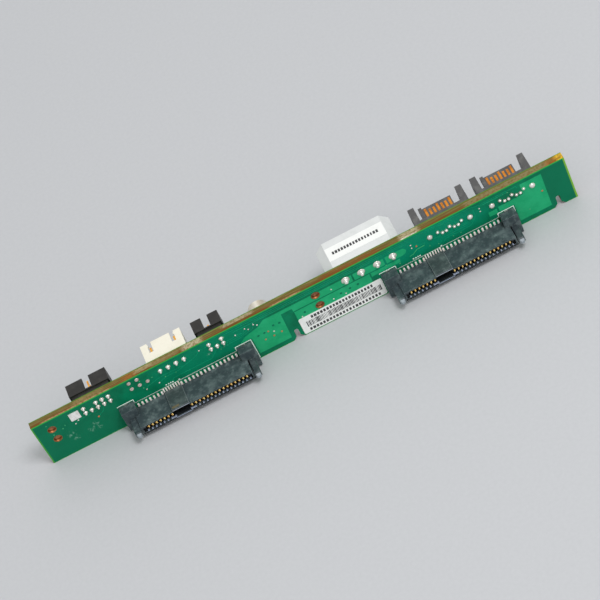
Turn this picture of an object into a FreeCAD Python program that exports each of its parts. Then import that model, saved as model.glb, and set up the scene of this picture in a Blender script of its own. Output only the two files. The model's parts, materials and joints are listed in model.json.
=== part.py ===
"""Drive backplane board for two drive bays.

A narrow circuit board carries two 29-way drive receptacles on its front face and, on its
back face, the headers for the cables: power, two data links, a four-pin, a six-pin and a
ten-pin one.

Frame, in millimetres: X runs along the board, Z up across it, and Y from front to back.
The origin is the middle of the board's bottom edge, half way through its thickness.
"""
import FreeCAD, Part
import math
import os
import re
import Sketcher
from FreeCAD import Vector

doc = FreeCAD.newDocument("DriveBackplane")

# --------------------------------------------------------------------------- driving sizes
SIZES = {
    # board: two bays side by side, and a strip past the outer side of each
    "bay_pitch": 85.0,
    "board_overhang": 0.6,
    "board_height": 17.4,
    "board_thickness": 2.4,
    "mount_hole_diameter": 2.5,
    "mount_hole_setback": 38.0,
    "mount_hole_drop": 4.28,
    "mount_hole_spacing": 4.4,
    "notch_offset": 37.45,
    "notch_width": 1.33,
    "notch_height": 4.2,
    "notch_flare_width": 3.7,
    "notch_flare_height": 1.3,
    "fit_clearance": 0.03,
    # drive receptacle
    "receptacle_offset": 2.93,
    "ear_setback": 0.125,
    "ear_width": 4.75,
    "ear_bottom": 0.6,
    "ear_height": 7.8,
    "ear_depth": 3.0,
    "shroud_end_wall": 1.375,
    "shroud_bottom": 1.9,
    "shroud_height": 3.35,
    "shroud_depth": 7.9,
    "arm_gap": 0.2,
    "arm_bottom": 2.4,
    "arm_width": 2.05,
    "arm_height": 2.3,
    "arm_chamfer": 0.3,
    "arm_depth": 8.5,
    "arm_tip_length": 1.1,
    "arm_taper": 32.0,
    "slot_lip": 0.45,
    "slot_height": 2.2,
    "slot_depth": 6.0,
    "slot_end_room": 0.75,
    "comb_depth": 0.2,
    "mouth_flare_width": 0.95,
    "mouth_flare_drop": 0.3,
    "mouth_flare_depth": 0.8,
    "groove_width": 0.72,
    "groove_depth": 0.4,
    "groove_length": 2.4,
    "window_width": 5.4,
    "window_setback": 0.45,
    "window_relief": 0.12,
    "window_foot": 1.2,
    # drive contacts: a foot on the board and a sprung leaf in the slot
    "contact_pitch": 1.27,
    "contact_width": 0.5,
    "contact_thickness": 0.2,
    "contact_foot_reach": 1.48,
    "leaf_bend_depth": 3.2,
    "leaf_apex_depth": 6.9,
    "leaf_apex_drop": 0.95,
    "leaf_tip_depth": 7.75,
    "leaf_tip_drop": 0.65,
    "port_pitch": 0.8,
    "port_contact_width": 0.34,
    "port_foot_reach": 2.15,
    "port_bend_depth": 2.4,
    "port_apex_depth": 4.5,
    "port_apex_rise": 0.8,
    "port_tip_depth": 5.1,
    "port_tip_rise": 0.55,
    "hold_down_width": 1.3,
    "hold_down_thickness": 0.25,
    "hold_down_foot": 0.3,
    "hold_down_blade": 0.7,
    "hold_down_rise": 2.2,
    # power header
    "power_offset": 20.69,
    "power_drop": 4.29,
    "power_pitch": 5.08,
    "power_width": 23.65,
    "power_shroud_height": 8.58,
    "power_depth": 10.62,
    "power_chamfer": 2.62,
    "power_wall": 1.2,
    "power_floor": 2.2,
    "power_pin_diameter": 2.1,
    "power_pin_recess": 1.4,
    "power_tail_width": 1.2,
    # data headers
    "data_offset": 5.3,
    "data_spacing": 20.0,
    "data_drop": 4.275,
    "data_width": 17.2,
    "data_depth": 8.4,
    "data_base_depth": 2.65,
    "data_base_height": 5.5,
    "data_arm_width": 1.95,
    "tongue_width": 10.2,
    "tongue_shift": 0.55,
    "tongue_thickness": 1.15,
    "tongue_leg_width": 1.05,
    "tongue_leg_rise": 0.75,
    "data_pitch": 1.27,
    "data_stagger": 0.47,
    "data_contact_width": 0.7,
    "data_contact_thickness": 0.25,
    "data_contact_inset": 0.5,
    "data_short_inset": 1.15,
    "data_jog_depth": 1.2,
    "data_lock_offset": 6.475,
    "data_lock_width": 1.1,
    "data_lock_thickness": 0.5,
    "data_lock_length": 1.4,
    # four-pin header
    "four_pin_offset": 1.29,
    "four_pin_drop": 2.88,
    "four_pin_pitch": 2.54,
    "four_pin_width": 12.75,
    "four_pin_height": 5.75,
    "four_pin_above": 2.38,
    "four_pin_depth": 7.4,
    "four_pin_wall": 0.85,
    "four_pin_floor": 2.4,
    "four_pin_recess": 0.15,
    "key_slot_width": 1.3,
    "key_slot_inset": 0.18,
    "key_slot_depth": 3.85,
    "key_nub_rise": 0.3,
    "key_nub_depth": 0.95,
    "key_nub_length": 0.6,
    # six-pin and ten-pin box headers
    "six_pin_offset": 15.3,
    "ten_pin_offset": 23.17,
    "box_row_drop": 2.4,
    "box_pitch": 2.0,
    "box_end_room": 2.35,
    "box_height": 5.8,
    "box_depth": 6.9,
    "box_wall": 0.75,
    "box_plinth_depth": 2.2,
    "box_plinth_inset": 0.55,
    "box_floor": 2.6,
    "box_pin_recess": 0.35,
    "box_key_width": 2.05,
    "small_pin_width": 0.5,
    "header_pin_width": 0.64,
    # upright capacitor
    "capacitor_offset": 30.5,
    "capacitor_drop": 6.35,
    "can_diameter": 6.3,
    "can_depth": 4.9,
    "can_rim": 0.4,
    "can_waist": 0.3,
    "capacitor_base_width": 6.6,
    "capacitor_base_depth": 1.0,
    "capacitor_base_chamfer": 1.3,
    "capacitor_lead_width": 0.65,
    "capacitor_lead_thickness": 0.2,
    "capacitor_lead_reach": 0.7,
    "capacitor_lead_run": 2.6,
    # solder on the front face
    "small_joint_width": 1.3,
    "small_joint_height": 0.9,
    "header_joint_width": 1.4,
    "header_joint_height": 1.0,
    "power_joint_width": 2.5,
    "power_joint_height": 1.4,
    "data_joint_width": 0.95,
    "data_joint_height": 0.7,
    "lock_joint_width": 1.8,
    "lock_joint_height": 0.8,
    "spare_joint_width": 1.25,
    "spare_joint_height": 0.3,
    "spare_offset": 12.2,
    "spare_drop": 1.7,
    "spare_pitch": 2.54,
    "tinned_pad_offset": 31.9,
    "tinned_pad_drop": 1.82,
    "tinned_pad_side": 3.15,
    "tinned_pad_thickness": 0.15,
    # labels
    "front_label_width": 26.9,
    "front_label_height": 6.8,
    "front_label_bottom": 0.4,
    "front_label_gap": 0.25,
    "label_thickness": 0.1,
    "label_corner": 0.6,
    "power_label_width": 18.4,
    "power_label_height": 5.3,
    "power_label_rise": 2.6,
    # small parts on the back face
    "logic_offset": 10.5,
    "logic_rise": 5.2,
    "logic_length": 4.9,
    "logic_width": 3.9,
    "logic_depth": 1.5,
    "logic_pitch": 1.27,
    "logic_lead_width": 0.42,
    "logic_lead_reach": 1.05,
    "logic_lead_thickness": 0.2,
    "logic_lead_rise": 0.75,
    "chip_rise": 3.6,
    "chip_pitch": 3.0,
    "chip_length": 2.0,
    "chip_width": 1.25,
    "chip_capacitor_depth": 0.9,
    "chip_resistor_depth": 0.55,
    "chip_capacitor_offset": 17.0,
    "chip_resistor_offset": 4.0,
}

# counts that the connector standards fix
SIGNAL_CONTACTS = 7
POWER_CONTACTS = 15
PORT_CONTACTS = 7
POWER_PINS = 4
FOUR_PINS = 4
LONG_DATA_CONTACTS = (0, 3, 6)
SHORT_DATA_CONTACTS = (1, 2, 4, 5)
LOGIC_LEADS = 4
CHIP_CAPACITORS = 4
CHIP_RESISTORS = 5

sheet = doc.addObject("Spreadsheet::Sheet", "Sizes")
for row, (alias, number) in enumerate(SIZES.items(), start=1):
    sheet.set(f"A{row}", alias)
    sheet.set(f"B{row}", str(number))
    sheet.setAlias(f"B{row}", alias)
doc.recompute()

# where things stand, as expressions of the sizes
BAYS = {"left": "-bay_pitch / 2", "right": "bay_pitch / 2"}
FRONT = "-board_thickness / 2"
BACK = "board_thickness / 2"
BOARD_LENGTH = "(2 * bay_pitch + 2 * board_overhang)"

nodes = []  # every finished sub-part, in the order made


def bind(text):
    """Put the sheet's name before each size in an expression."""
    return re.sub(r"[a-z]+(?:_[a-z]+)+", lambda word: "Sizes." + word.group(), text)


def value(text):
    return float(sheet.evalExpression(bind(text)))


# --------------------------------------------------------------------------- modelling steps
def new_body(name, x="0", y="0", z="0"):
    """Start a sub-part whose own origin lies at x, y, z on the board."""
    body = doc.addObject("PartDesign::Body", name)
    body.Label = name
    nodes.append(body)
    for axis, text in zip("xyz", (x, y, z)):
        if text != "0":
            body.setExpression(f"Placement.Base.{axis}", bind(text))
    return body


def link_copy(body, x, y, z):
    """Stand a linked copy of a left-hand sub-part at x, y, z, as its right-hand twin."""
    twin = doc.addObject("App::Link", body.Label.replace("left", "right"))
    twin.Label = twin.Name
    twin.LinkedObject = body
    nodes.append(twin)
    for axis, text in zip("xyz", (x, y, z)):
        twin.setExpression(f"Placement.Base.{axis}", bind(text))


def origin_part(body, role):
    return next(part for part in body.Origin.OriginFeatures if part.Role == role)


def new_sketch(body, name, plane, offset):
    sketch = body.newObject("Sketcher::SketchObject", name + "_sketch")
    sketch.AttachmentSupport = [(origin_part(body, plane), "")]
    sketch.MapMode = "FlatFace"
    for axis, text in zip("xyz", offset):
        if text != "0":
            sketch.setExpression(f"AttachmentOffset.Base.{axis}", bind(text))
    return sketch


def set_distance(sketch, kind, geometry, point, text):
    constraint = Sketcher.Constraint(kind, -1, 1, geometry, point, value(text))
    index = sketch.addConstraint(constraint)
    sketch.setExpression(f"Constraints[{index}]", bind(text))


def draw_outline(sketch, corners):
    """Close a polygon with every corner set from the sheet."""
    first = sketch.GeometryCount
    points = [Vector(value(x), value(y), 0) for x, y in corners]
    for start, end in zip(points, points[1:] + points[:1]):
        sketch.addGeometry(Part.LineSegment(start, end), False)
    for index, (x, y) in enumerate(corners):
        following = first + (index + 1) % len(corners)
        sketch.addConstraint(Sketcher.Constraint("Coincident", first + index, 2, following, 1))
        set_distance(sketch, "DistanceX", first + index, 1, x)
        set_distance(sketch, "DistanceY", first + index, 1, y)


def draw_circle(sketch, x, y, diameter):
    centre = Vector(value(x), value(y), 0)
    circle = Part.Circle(centre, Vector(0, 0, 1), value(diameter) / 2)
    geometry = sketch.addGeometry(circle, False)
    set_distance(sketch, "DistanceX", geometry, 3, x)
    set_distance(sketch, "DistanceY", geometry, 3, y)
    index = sketch.addConstraint(Sketcher.Constraint("Diameter", geometry, value(diameter)))
    sketch.setExpression(f"Constraints[{index}]", bind(diameter))


def rectangle(left, bottom, width, height):
    """Corners of a rectangle, from its lower left one."""
    right = f"({left}) + ({width})"
    top = f"({bottom}) + ({height})"
    return [(left, bottom), (right, bottom), (right, top), (left, top)]


def centred(x, bottom, width, height):
    """Corners of a rectangle whose middle stands at x."""
    return rectangle(f"({x}) - ({width}) / 2", bottom, width, height)


def chamfered(left, bottom, width, height, cut):
    """A rectangle with its four corners cut off."""
    right, top = f"{left} + {width}", f"{bottom} + {height}"
    return [(f"{left} + {cut}", bottom), (f"{right} - {cut}", bottom), (right, f"{bottom} + {cut}"),
            (right, f"{top} - {cut}"), (f"{right} - {cut}", top), (f"{left} + {cut}", top),
            (left, f"{top} - {cut}"), (left, f"{bottom} + {cut}")]


def square(x, z, side):
    return centred(x, f"({z}) - ({side}) / 2", side, side)


def extrude(body, kind, name, shapes, length=None, plane="XZ_Plane", offset="0",
            reverse=False, taper=None, symmetric=False):
    """Pad or pocket polygons (lists of corners) and circles (x, y, diameter).

    On the XZ plane a pad grows towards the front, and a pocket cuts towards the back.
    """
    sketch = new_sketch(body, name, plane, ("0", "0", offset))
    for shape in shapes:
        if isinstance(shape, tuple):
            draw_circle(sketch, *shape)
        else:
            draw_outline(sketch, shape)
    feature = body.newObject("PartDesign::" + kind, name)
    feature.Profile = sketch
    feature.Reversed = reverse
    if length is None:
        feature.Type = "ThroughAll"
    else:
        feature.setExpression("Length", bind(length))
    if taper is not None:
        feature.setExpression("TaperAngle", bind(taper))
    if symmetric:
        feature.SideType = "Symmetric"
    return feature


def revolve(body, name, corners, x="0", z="0"):
    """Turn a half outline (radius, y) about an axis along Y."""
    sketch = new_sketch(body, name, "XY_Plane", (x, "0", z))
    draw_outline(sketch, corners)
    feature = body.newObject("PartDesign::Revolution", name)
    feature.Profile = sketch
    feature.ReferenceAxis = (sketch, ["V_Axis"])
    feature.Angle = 360
    return feature


def repeat(body, name, originals, pitch, count):
    """Repeat features along X."""
    feature = body.newObject("PartDesign::LinearPattern", name)
    feature.Originals = originals
    feature.Direction = (origin_part(body, "X_Axis"), [""])
    feature.setExpression("Length", bind(f"{pitch} * {count - 1}"))
    feature.Occurrences = count
    body.Tip = feature
    return feature


def mirror(body, name, originals):
    """Mirror features to the other side of the body's own middle."""
    feature = body.newObject("PartDesign::Mirrored", name)
    feature.Originals = originals
    feature.MirrorPlane = (origin_part(body, "YZ_Plane"), [""])
    body.Tip = feature
    return feature


def dress_edges(body, kind, name, base, size, axis):
    """Round or chamfer every straight edge of a feature that runs along one axis."""
    doc.recompute()
    edges = []
    for index, edge in enumerate(base.Shape.Edges, start=1):
        along = edge.Vertexes[-1].Point - edge.Vertexes[0].Point
        if abs(abs(along.normalize() * axis) - 1) < 1e-6:
            edges.append(f"Edge{index}")
    feature = body.newObject("PartDesign::" + kind, name)
    feature.Base = (base, edges)
    feature.setExpression("Radius" if kind == "Fillet" else "Size", bind(size))
    return feature


# --------------------------------------------------------------------------- pin layouts
def pin_row(first, pitch, positions, drop):
    """Places (x, z) of the pins of one row, by their position from the first."""
    return [(f"({first}) + {position} * {pitch}", f"board_height - ({drop})") for position in positions]


def box_header_pins(middle, columns, missing):
    """Two rows of pins: the lower one is full, the upper one lacks its key pin."""
    first = f"({middle}) - {(columns - 1) / 2} * box_pitch"
    upper = [column for column in range(columns) if column != missing]
    return (pin_row(first, "box_pitch", upper, "box_row_drop")
            + pin_row(first, "box_pitch", range(columns), "box_row_drop + box_pitch"))


def data_pins(middle, positions, line):
    """Tails of a data header's contacts, on a line above or below its middle."""
    first = f"({middle}) - 3 * data_pitch"
    return pin_row(first, "data_pitch", positions, f"data_drop - {line}")


TEN_PIN_X = f"{BAYS['left']} - ten_pin_offset"
FOUR_PIN_X = f"{BAYS['left']} + four_pin_offset"
SIX_PIN_X = f"{BAYS['left']} + six_pin_offset"
CAPACITOR_X = f"{BAYS['left']} + capacitor_offset"
SPARE_X = f"{BAYS['left']} - spare_offset"
POWER_X = f"{BAYS['right']} - power_offset"
DATA_X = {
    "left": f"{BAYS['right']} + data_offset",
    "right": f"{BAYS['right']} + data_offset + data_spacing",
}

TEN_PINS = box_header_pins(TEN_PIN_X, 5, 1)
SIX_PINS = box_header_pins(SIX_PIN_X, 3, 1)
FOUR_PIN_ROW = pin_row(f"{FOUR_PIN_X} - 1.5 * four_pin_pitch", "four_pin_pitch", range(FOUR_PINS),
                       "four_pin_drop")
POWER_ROW = pin_row(f"{POWER_X} - 1.5 * power_pitch", "power_pitch", range(POWER_PINS), "power_drop")
SPARE_HOLES = (pin_row(SPARE_X, "spare_pitch", (0, 1), "spare_drop")
               + pin_row(SPARE_X, "spare_pitch", (0, 1, 2), "spare_drop + spare_pitch"))
UPPER_TAIL_LINE = "(tongue_thickness / 2 + fit_clearance - data_contact_thickness / 2)"
LOWER_TAIL_LINE = "(-data_stagger)"
DATA_TAILS = []
DATA_LOCKS = []
for middle in DATA_X.values():
    DATA_TAILS += data_pins(middle, LONG_DATA_CONTACTS, UPPER_TAIL_LINE)
    DATA_TAILS += data_pins(middle, SHORT_DATA_CONTACTS, LOWER_TAIL_LINE)
    DATA_LOCKS += pin_row(f"{middle} - data_lock_offset", "data_lock_offset", (0, 2), "data_drop")


# --------------------------------------------------------------------------- circuit board
def make_board():
    """The bare board: its outline, two edge notches, and every hole through it."""
    body = new_body("circuit_board")
    outline = [centred("0", "0", BOARD_LENGTH, "board_height")]
    extrude(body, "Pad", "laminate", outline, "board_thickness", offset=BACK, reverse=True)

    for side, bay in BAYS.items():
        x = f"{bay} + notch_offset"
        shoulder = "notch_height - notch_width / 2"
        slot = [(f"{x} - notch_flare_width / 2", "0"), (f"{x} + notch_flare_width / 2", "0"),
                (f"{x} + notch_width / 2", "notch_flare_height"), (f"{x} + notch_width / 2", shoulder),
                (f"{x} - notch_width / 2", shoulder), (f"{x} - notch_width / 2", "notch_flare_height")]
        extrude(body, "Pocket", f"{side}_notch", [slot], offset=BACK)
        extrude(body, "Pocket", f"{side}_notch_end", [(x, shoulder, "notch_width")], offset=BACK)

        hole_x = f"{bay} - mount_hole_setback"
        hole_z = "board_height - mount_hole_drop"
        holes = [(hole_x, hole_z, "mount_hole_diameter"),
                 (hole_x, f"{hole_z} - mount_hole_spacing", "mount_hole_diameter")]
        extrude(body, "Pocket", f"{side}_mount_holes", holes, offset=BACK)

    # a square pin's hole is full of solder round the pin, so it has the pin's own section
    small = [square(x, z, "small_pin_width + 2 * fit_clearance") for x, z in TEN_PINS + SIX_PINS]
    extrude(body, "Pocket", "box_header_holes", small, offset=BACK)
    square_ways = [square(x, z, "header_pin_width + 2 * fit_clearance") for x, z in FOUR_PIN_ROW]
    extrude(body, "Pocket", "four_pin_holes", square_ways, offset=BACK)
    strip_height = "(data_contact_thickness + 2 * fit_clearance)"
    strips = [centred(x, f"({z}) - {strip_height} / 2", "data_contact_width + 2 * fit_clearance", strip_height)
              for x, z in DATA_TAILS]
    extrude(body, "Pocket", "data_holes", strips, offset=BACK)
    tail_ways = [square(x, z, "power_tail_width + 2 * fit_clearance") for x, z in POWER_ROW]
    extrude(body, "Pocket", "power_holes", tail_ways, offset=BACK)
    extrude(body, "Pocket", "data_lock_holes", [lock_section(x, z, "fit_clearance") for x, z in DATA_LOCKS],
            offset=BACK)


# --------------------------------------------------------------------------- drive receptacles
SLOT_WIDTH = f"({SIGNAL_CONTACTS + POWER_CONTACTS + 3} * contact_pitch + 2 * slot_end_room)"
SHROUD_WIDTH = f"({SLOT_WIDTH} + 2 * shroud_end_wall)"
EAR_INNER = f"({SLOT_WIDTH} / 2 + ear_setback)"
EAR_OUTER = f"({EAR_INNER} + ear_width)"
FIRST_SIGNAL = "-12.5 * contact_pitch"
FIRST_POWER = "-1.5 * contact_pitch"
PORT_MIDDLE = "-4 * contact_pitch"
FIRST_PORT = f"{PORT_MIDDLE} - {(PORT_CONTACTS - 1) / 2} * port_pitch"
SHROUD_TOP = "(shroud_bottom + shroud_height)"
SLOT_TOP = "(shroud_bottom + shroud_height - slot_lip)"
SLOT_BOTTOM = "(shroud_bottom + shroud_height - slot_lip - slot_height)"
LEAF_BACK = f"({SLOT_TOP} + comb_depth - fit_clearance)"
PORT_LEAF_BOTTOM = f"({SLOT_BOTTOM} - groove_depth + fit_clearance)"
HOLD_DOWN_TOP = "(ear_bottom + ear_height)"
HOLD_DOWN_X = f"({EAR_INNER} + ear_width / 2)"


def make_receptacle_housing(side, place):
    """The moulding: two ears, a shroud with its contact comb, and two guide arms."""
    body = new_body(f"{side}_receptacle_housing", *place)
    outer, inner = EAR_OUTER, EAR_INNER
    ear_top = "ear_bottom + ear_height"
    foot = [(f"-{outer}", "ear_bottom"), (f"-{inner}", "ear_bottom"), (f"-{inner}", "shroud_bottom"),
            (inner, "shroud_bottom"), (inner, "ear_bottom"), (outer, "ear_bottom"),
            (outer, ear_top), (inner, ear_top), (inner, SHROUD_TOP),
            (f"-{inner}", SHROUD_TOP), (f"-{inner}", ear_top), (f"-{outer}", ear_top)]
    extrude(body, "Pad", "foot_and_ears", [foot], "ear_depth")
    shroud = centred("0", "shroud_bottom", SHROUD_WIDTH, "shroud_height")
    extrude(body, "Pad", "shroud", [shroud], "shroud_depth - ear_depth", offset="ear_depth")

    arm = chamfered(f"{SHROUD_WIDTH} / 2 + arm_gap", "arm_bottom", "arm_width", "arm_height", "arm_chamfer")
    straight = extrude(body, "Pad", "guide_arm", [arm], "arm_depth - ear_depth", offset="ear_depth")
    tip = extrude(body, "Pad", "guide_arm_tip", [arm], "arm_tip_length", offset="arm_depth",
                  taper="-arm_taper")
    mirror(body, "other_guide_arm", [straight, tip])

    slot = centred("0", SLOT_BOTTOM, SLOT_WIDTH, "slot_height")
    extrude(body, "Pocket", "drive_slot", [slot], "slot_depth", offset="shroud_depth")
    flare = centred("0", SLOT_BOTTOM, f"{SLOT_WIDTH} + 2 * mouth_flare_width", "slot_height - mouth_flare_drop")
    extrude(body, "Pocket", "mouth_flare", [flare], "mouth_flare_depth", offset="shroud_depth")
    cut_port_window(body)
    cut_hold_down_pockets(body)
    cut_port_comb(body)
    cut_contact_comb(body, "signal", FIRST_SIGNAL, SIGNAL_CONTACTS)
    cut_contact_comb(body, "power", FIRST_POWER, POWER_CONTACTS)
    return body


def cut_contact_comb(body, name, first, count):
    """One way for each contact: a channel up the wall, a foot slot and a groove opposite."""
    width = "contact_width + 2 * fit_clearance"
    back = f"{SLOT_TOP} - 0.2 * contact_thickness - 2 * fit_clearance"
    channel = centred(first, back, width, f"{LEAF_BACK} + fit_clearance - ({back})")
    foot = centred(first, back, width, f"{SHROUD_TOP} - ({back})")
    groove = centred(first, f"{SLOT_BOTTOM} - groove_depth", "groove_width", "groove_depth")
    cuts = [
        extrude(body, "Pocket", f"{name}_channel", [channel], "shroud_depth", offset="shroud_depth"),
        extrude(body, "Pocket", f"{name}_foot_slot", [foot], "contact_thickness + fit_clearance",
                reverse=True),
        extrude(body, "Pocket", f"{name}_groove", [groove], "groove_length", offset="shroud_depth"),
    ]
    repeat(body, f"{name}_comb", cuts, "contact_pitch", count)


def cut_port_window(body):
    """The middle of the upper wall, thinner and set back from the mouth."""
    mouth = centred(PORT_MIDDLE, SLOT_TOP, "window_width", "slot_lip")
    extrude(body, "Pocket", "window_mouth", [mouth], "window_setback", offset="shroud_depth")
    relief = centred(PORT_MIDDLE, f"{SHROUD_TOP} - window_relief", "window_width", "window_relief")
    extrude(body, "Pocket", "window_relief", [relief], "shroud_depth - window_foot",
            offset="shroud_depth")


def cut_port_comb(body):
    """Finer contact ways, which pass under the shroud and up its lower wall."""
    width = "port_contact_width + 2 * fit_clearance"
    bottom = f"{SLOT_BOTTOM} - groove_depth"
    channel = centred(FIRST_PORT, bottom, width, "groove_depth")
    foot = centred(FIRST_PORT, bottom, width, f"{SHROUD_TOP} - ({bottom})")
    cuts = [
        extrude(body, "Pocket", "port_channel", [channel], "port_tip_depth + fit_clearance", reverse=True),
        extrude(body, "Pocket", "port_foot_slot", [foot], "contact_thickness + fit_clearance",
                reverse=True),
    ]
    repeat(body, "port_comb", cuts, "port_pitch", PORT_CONTACTS)


def cut_hold_down_pockets(body):
    """A pocket under each ear for the leg and the foot of its metal hold-down."""
    width = "hold_down_width + 2 * fit_clearance"
    bottom = f"{HOLD_DOWN_TOP} - hold_down_blade - fit_clearance"
    blade = centred(HOLD_DOWN_X, bottom, width, "hold_down_thickness + 2 * fit_clearance")
    foot = centred(HOLD_DOWN_X, bottom, width, f"{HOLD_DOWN_TOP} - ({bottom})")
    cuts = [
        extrude(body, "Pocket", "hold_down_slot", [blade], "hold_down_rise + fit_clearance", reverse=True),
        extrude(body, "Pocket", "hold_down_step", [foot], "hold_down_thickness + fit_clearance",
                reverse=True),
    ]
    mirror(body, "other_hold_down", cuts)


def make_wall_contacts(side, place, name, first, count):
    """Contacts along the upper wall: foot on the board, leaf bowed into the slot."""
    body = new_body(f"{side}_receptacle_{name}_contacts", *place)
    back = LEAF_BACK
    face = f"{LEAF_BACK} - contact_thickness"
    profile = [
        ("0", face), ("-leaf_bend_depth", face),
        ("-leaf_apex_depth", f"{face} - leaf_apex_drop"), ("-leaf_tip_depth", f"{face} - leaf_tip_drop"),
        ("-leaf_tip_depth", f"{back} - leaf_tip_drop"), ("-leaf_apex_depth", f"{back} - leaf_apex_drop"),
        ("-leaf_bend_depth", back), ("-contact_thickness", back),
        ("-contact_thickness", f"{SHROUD_TOP} + contact_foot_reach"), ("0", f"{SHROUD_TOP} + contact_foot_reach"),
    ]
    strip = extrude(body, "Pad", "contact", [profile], "contact_width", plane="YZ_Plane", offset=first,
                    symmetric=True)
    repeat(body, "contact_row", [strip], "contact_pitch", count)
    return body


def make_port_contacts(side, place):
    """Second-port contacts: they run under the shroud and rise along its lower wall."""
    body = new_body(f"{side}_receptacle_port_contacts", *place)
    low = PORT_LEAF_BOTTOM
    high = f"{PORT_LEAF_BOTTOM} + contact_thickness"
    end = f"{SHROUD_TOP} + port_foot_reach"
    profile = [
        ("0", end), ("0", low), ("-port_bend_depth", low),
        ("-port_apex_depth", f"{low} + port_apex_rise"), ("-port_tip_depth", f"{low} + port_tip_rise"),
        ("-port_tip_depth", f"{high} + port_tip_rise"), ("-port_apex_depth", f"{high} + port_apex_rise"),
        ("-port_bend_depth", high), ("-contact_thickness", high), ("-contact_thickness", end),
    ]
    strip = extrude(body, "Pad", "contact", [profile], "port_contact_width", plane="YZ_Plane",
                    offset=FIRST_PORT, symmetric=True)
    repeat(body, "contact_row", [strip], "port_pitch", PORT_CONTACTS)
    return body


def make_hold_downs(side, place):
    """The bent metal tabs that solder the ears to the board."""
    body = new_body(f"{side}_receptacle_hold_downs", *place)
    bottom = f"{HOLD_DOWN_TOP} - hold_down_blade"
    top = f"{HOLD_DOWN_TOP} + hold_down_foot"
    profile = [
        ("0", bottom), ("-hold_down_rise", bottom), ("-hold_down_rise", f"{bottom} + hold_down_thickness"),
        ("-hold_down_thickness", f"{bottom} + hold_down_thickness"), ("-hold_down_thickness", top), ("0", top),
    ]
    tab = extrude(body, "Pad", "tab", [profile], "hold_down_width", plane="YZ_Plane",
                  offset=HOLD_DOWN_X, symmetric=True)
    mirror(body, "other_tab", [tab])
    return body


def make_receptacles():
    """Both receptacles are alike: the right-hand pieces are linked copies of the left."""
    place = (f"{BAYS['left']} + receptacle_offset", FRONT, "0")
    pieces = [
        make_receptacle_housing("left", place),
        make_wall_contacts("left", place, "signal", FIRST_SIGNAL, SIGNAL_CONTACTS),
        make_wall_contacts("left", place, "power", FIRST_POWER, POWER_CONTACTS),
        make_port_contacts("left", place),
        make_hold_downs("left", place),
    ]
    for piece in pieces:
        link_copy(piece, f"{BAYS['right']} + receptacle_offset", FRONT, "0")


# --------------------------------------------------------------------------- power header
def power_outline(inset):
    """The keyed outline: square below, both upper corners cut off at 45 degrees."""
    half = f"(power_width / 2 - {inset})"
    top = f"(power_drop - {inset})"
    bottom = f"(power_drop - power_shroud_height + {inset})"
    cut = f"(power_chamfer - 0.586 * {inset})"
    return [(f"-{half}", bottom), (half, bottom), (half, f"{top} - {cut}"), (f"{half} - {cut}", top),
            (f"-{half} + {cut}", top), (f"-{half}", f"{top} - {cut}")]


def make_power_header():
    """A white keyed shroud over four thick round pins."""
    place = (POWER_X, BACK, "board_height - power_drop")
    housing = new_body("power_header_housing", *place)
    extrude(housing, "Pad", "shroud", [power_outline("0")], "power_depth", reverse=True)
    extrude(housing, "Pocket", "cavity", [power_outline("power_wall")], "power_depth - power_floor",
            offset="-power_depth", reverse=True)
    ways = [(f"{index - 1.5} * power_pitch", "0", "power_pin_diameter + 2 * fit_clearance")
            for index in range(POWER_PINS)]
    extrude(housing, "Pocket", "pin_holes", ways, "power_floor")

    pins = new_body("power_header_pins", *place)
    top = "power_depth - power_pin_recess"
    first = "-1.5 * power_pitch"
    half_outline = [("0", "fit_clearance"), ("power_pin_diameter / 2", "fit_clearance"),
                    ("power_pin_diameter / 2", top), ("0", top)]
    pin = revolve(pins, "pin", half_outline, x=first)
    tail = extrude(pins, "Pad", "tail", [square(first, "0", "power_tail_width")],
                   "board_thickness + fit_clearance", offset="board_thickness", reverse=True)
    repeat(pins, "pin_row", [pin, tail], "power_pitch", POWER_PINS)


# --------------------------------------------------------------------------- data headers
TONGUE_FACE = "(tongue_thickness / 2)"


def contact_profile(inset, tail, grow="0"):
    """Side view of a data contact: on the tongue's face, then jogged to its tail's line."""
    half = "data_contact_thickness / 2"
    face = f"({TONGUE_FACE} + fit_clearance + ({grow}))"
    back = f"({TONGUE_FACE} + fit_clearance - data_contact_thickness - ({grow}))"
    low = f"({tail} * data_stagger - {half} - ({grow}))"
    high = f"({tail} * data_stagger + {half} + ({grow}))"
    top = f"data_depth - {inset} + ({grow})"
    if tail > 0:
        # the tail's line lies just behind the tongue's face, so the strip runs straight
        return [("-board_thickness", back), (top, back), (top, face), ("-board_thickness", face)]
    jog = f"(data_jog_depth + ({grow}))"
    step = f"(data_jog_depth - data_contact_thickness - ({grow}))"
    return [("-board_thickness", low), (jog, low), (jog, back), (top, back), (top, face),
            (step, face), (step, high), ("-board_thickness", high)]


def data_contacts():
    """Each contact's position, the end of its strip and the side of its tail."""
    long_ones = [(index, "data_contact_inset", 1) for index in LONG_DATA_CONTACTS]
    short_ones = [(index, "data_short_inset", -1) for index in SHORT_DATA_CONTACTS]
    return long_ones + short_ones


def lock_section(x, z, room):
    """Section of a flat metal board lock, or of the slot round it."""
    thickness = f"(data_lock_thickness + 2 * {room})"
    return centred(x, f"({z}) - {thickness} / 2", f"data_lock_width + 2 * {room}", thickness)


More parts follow.
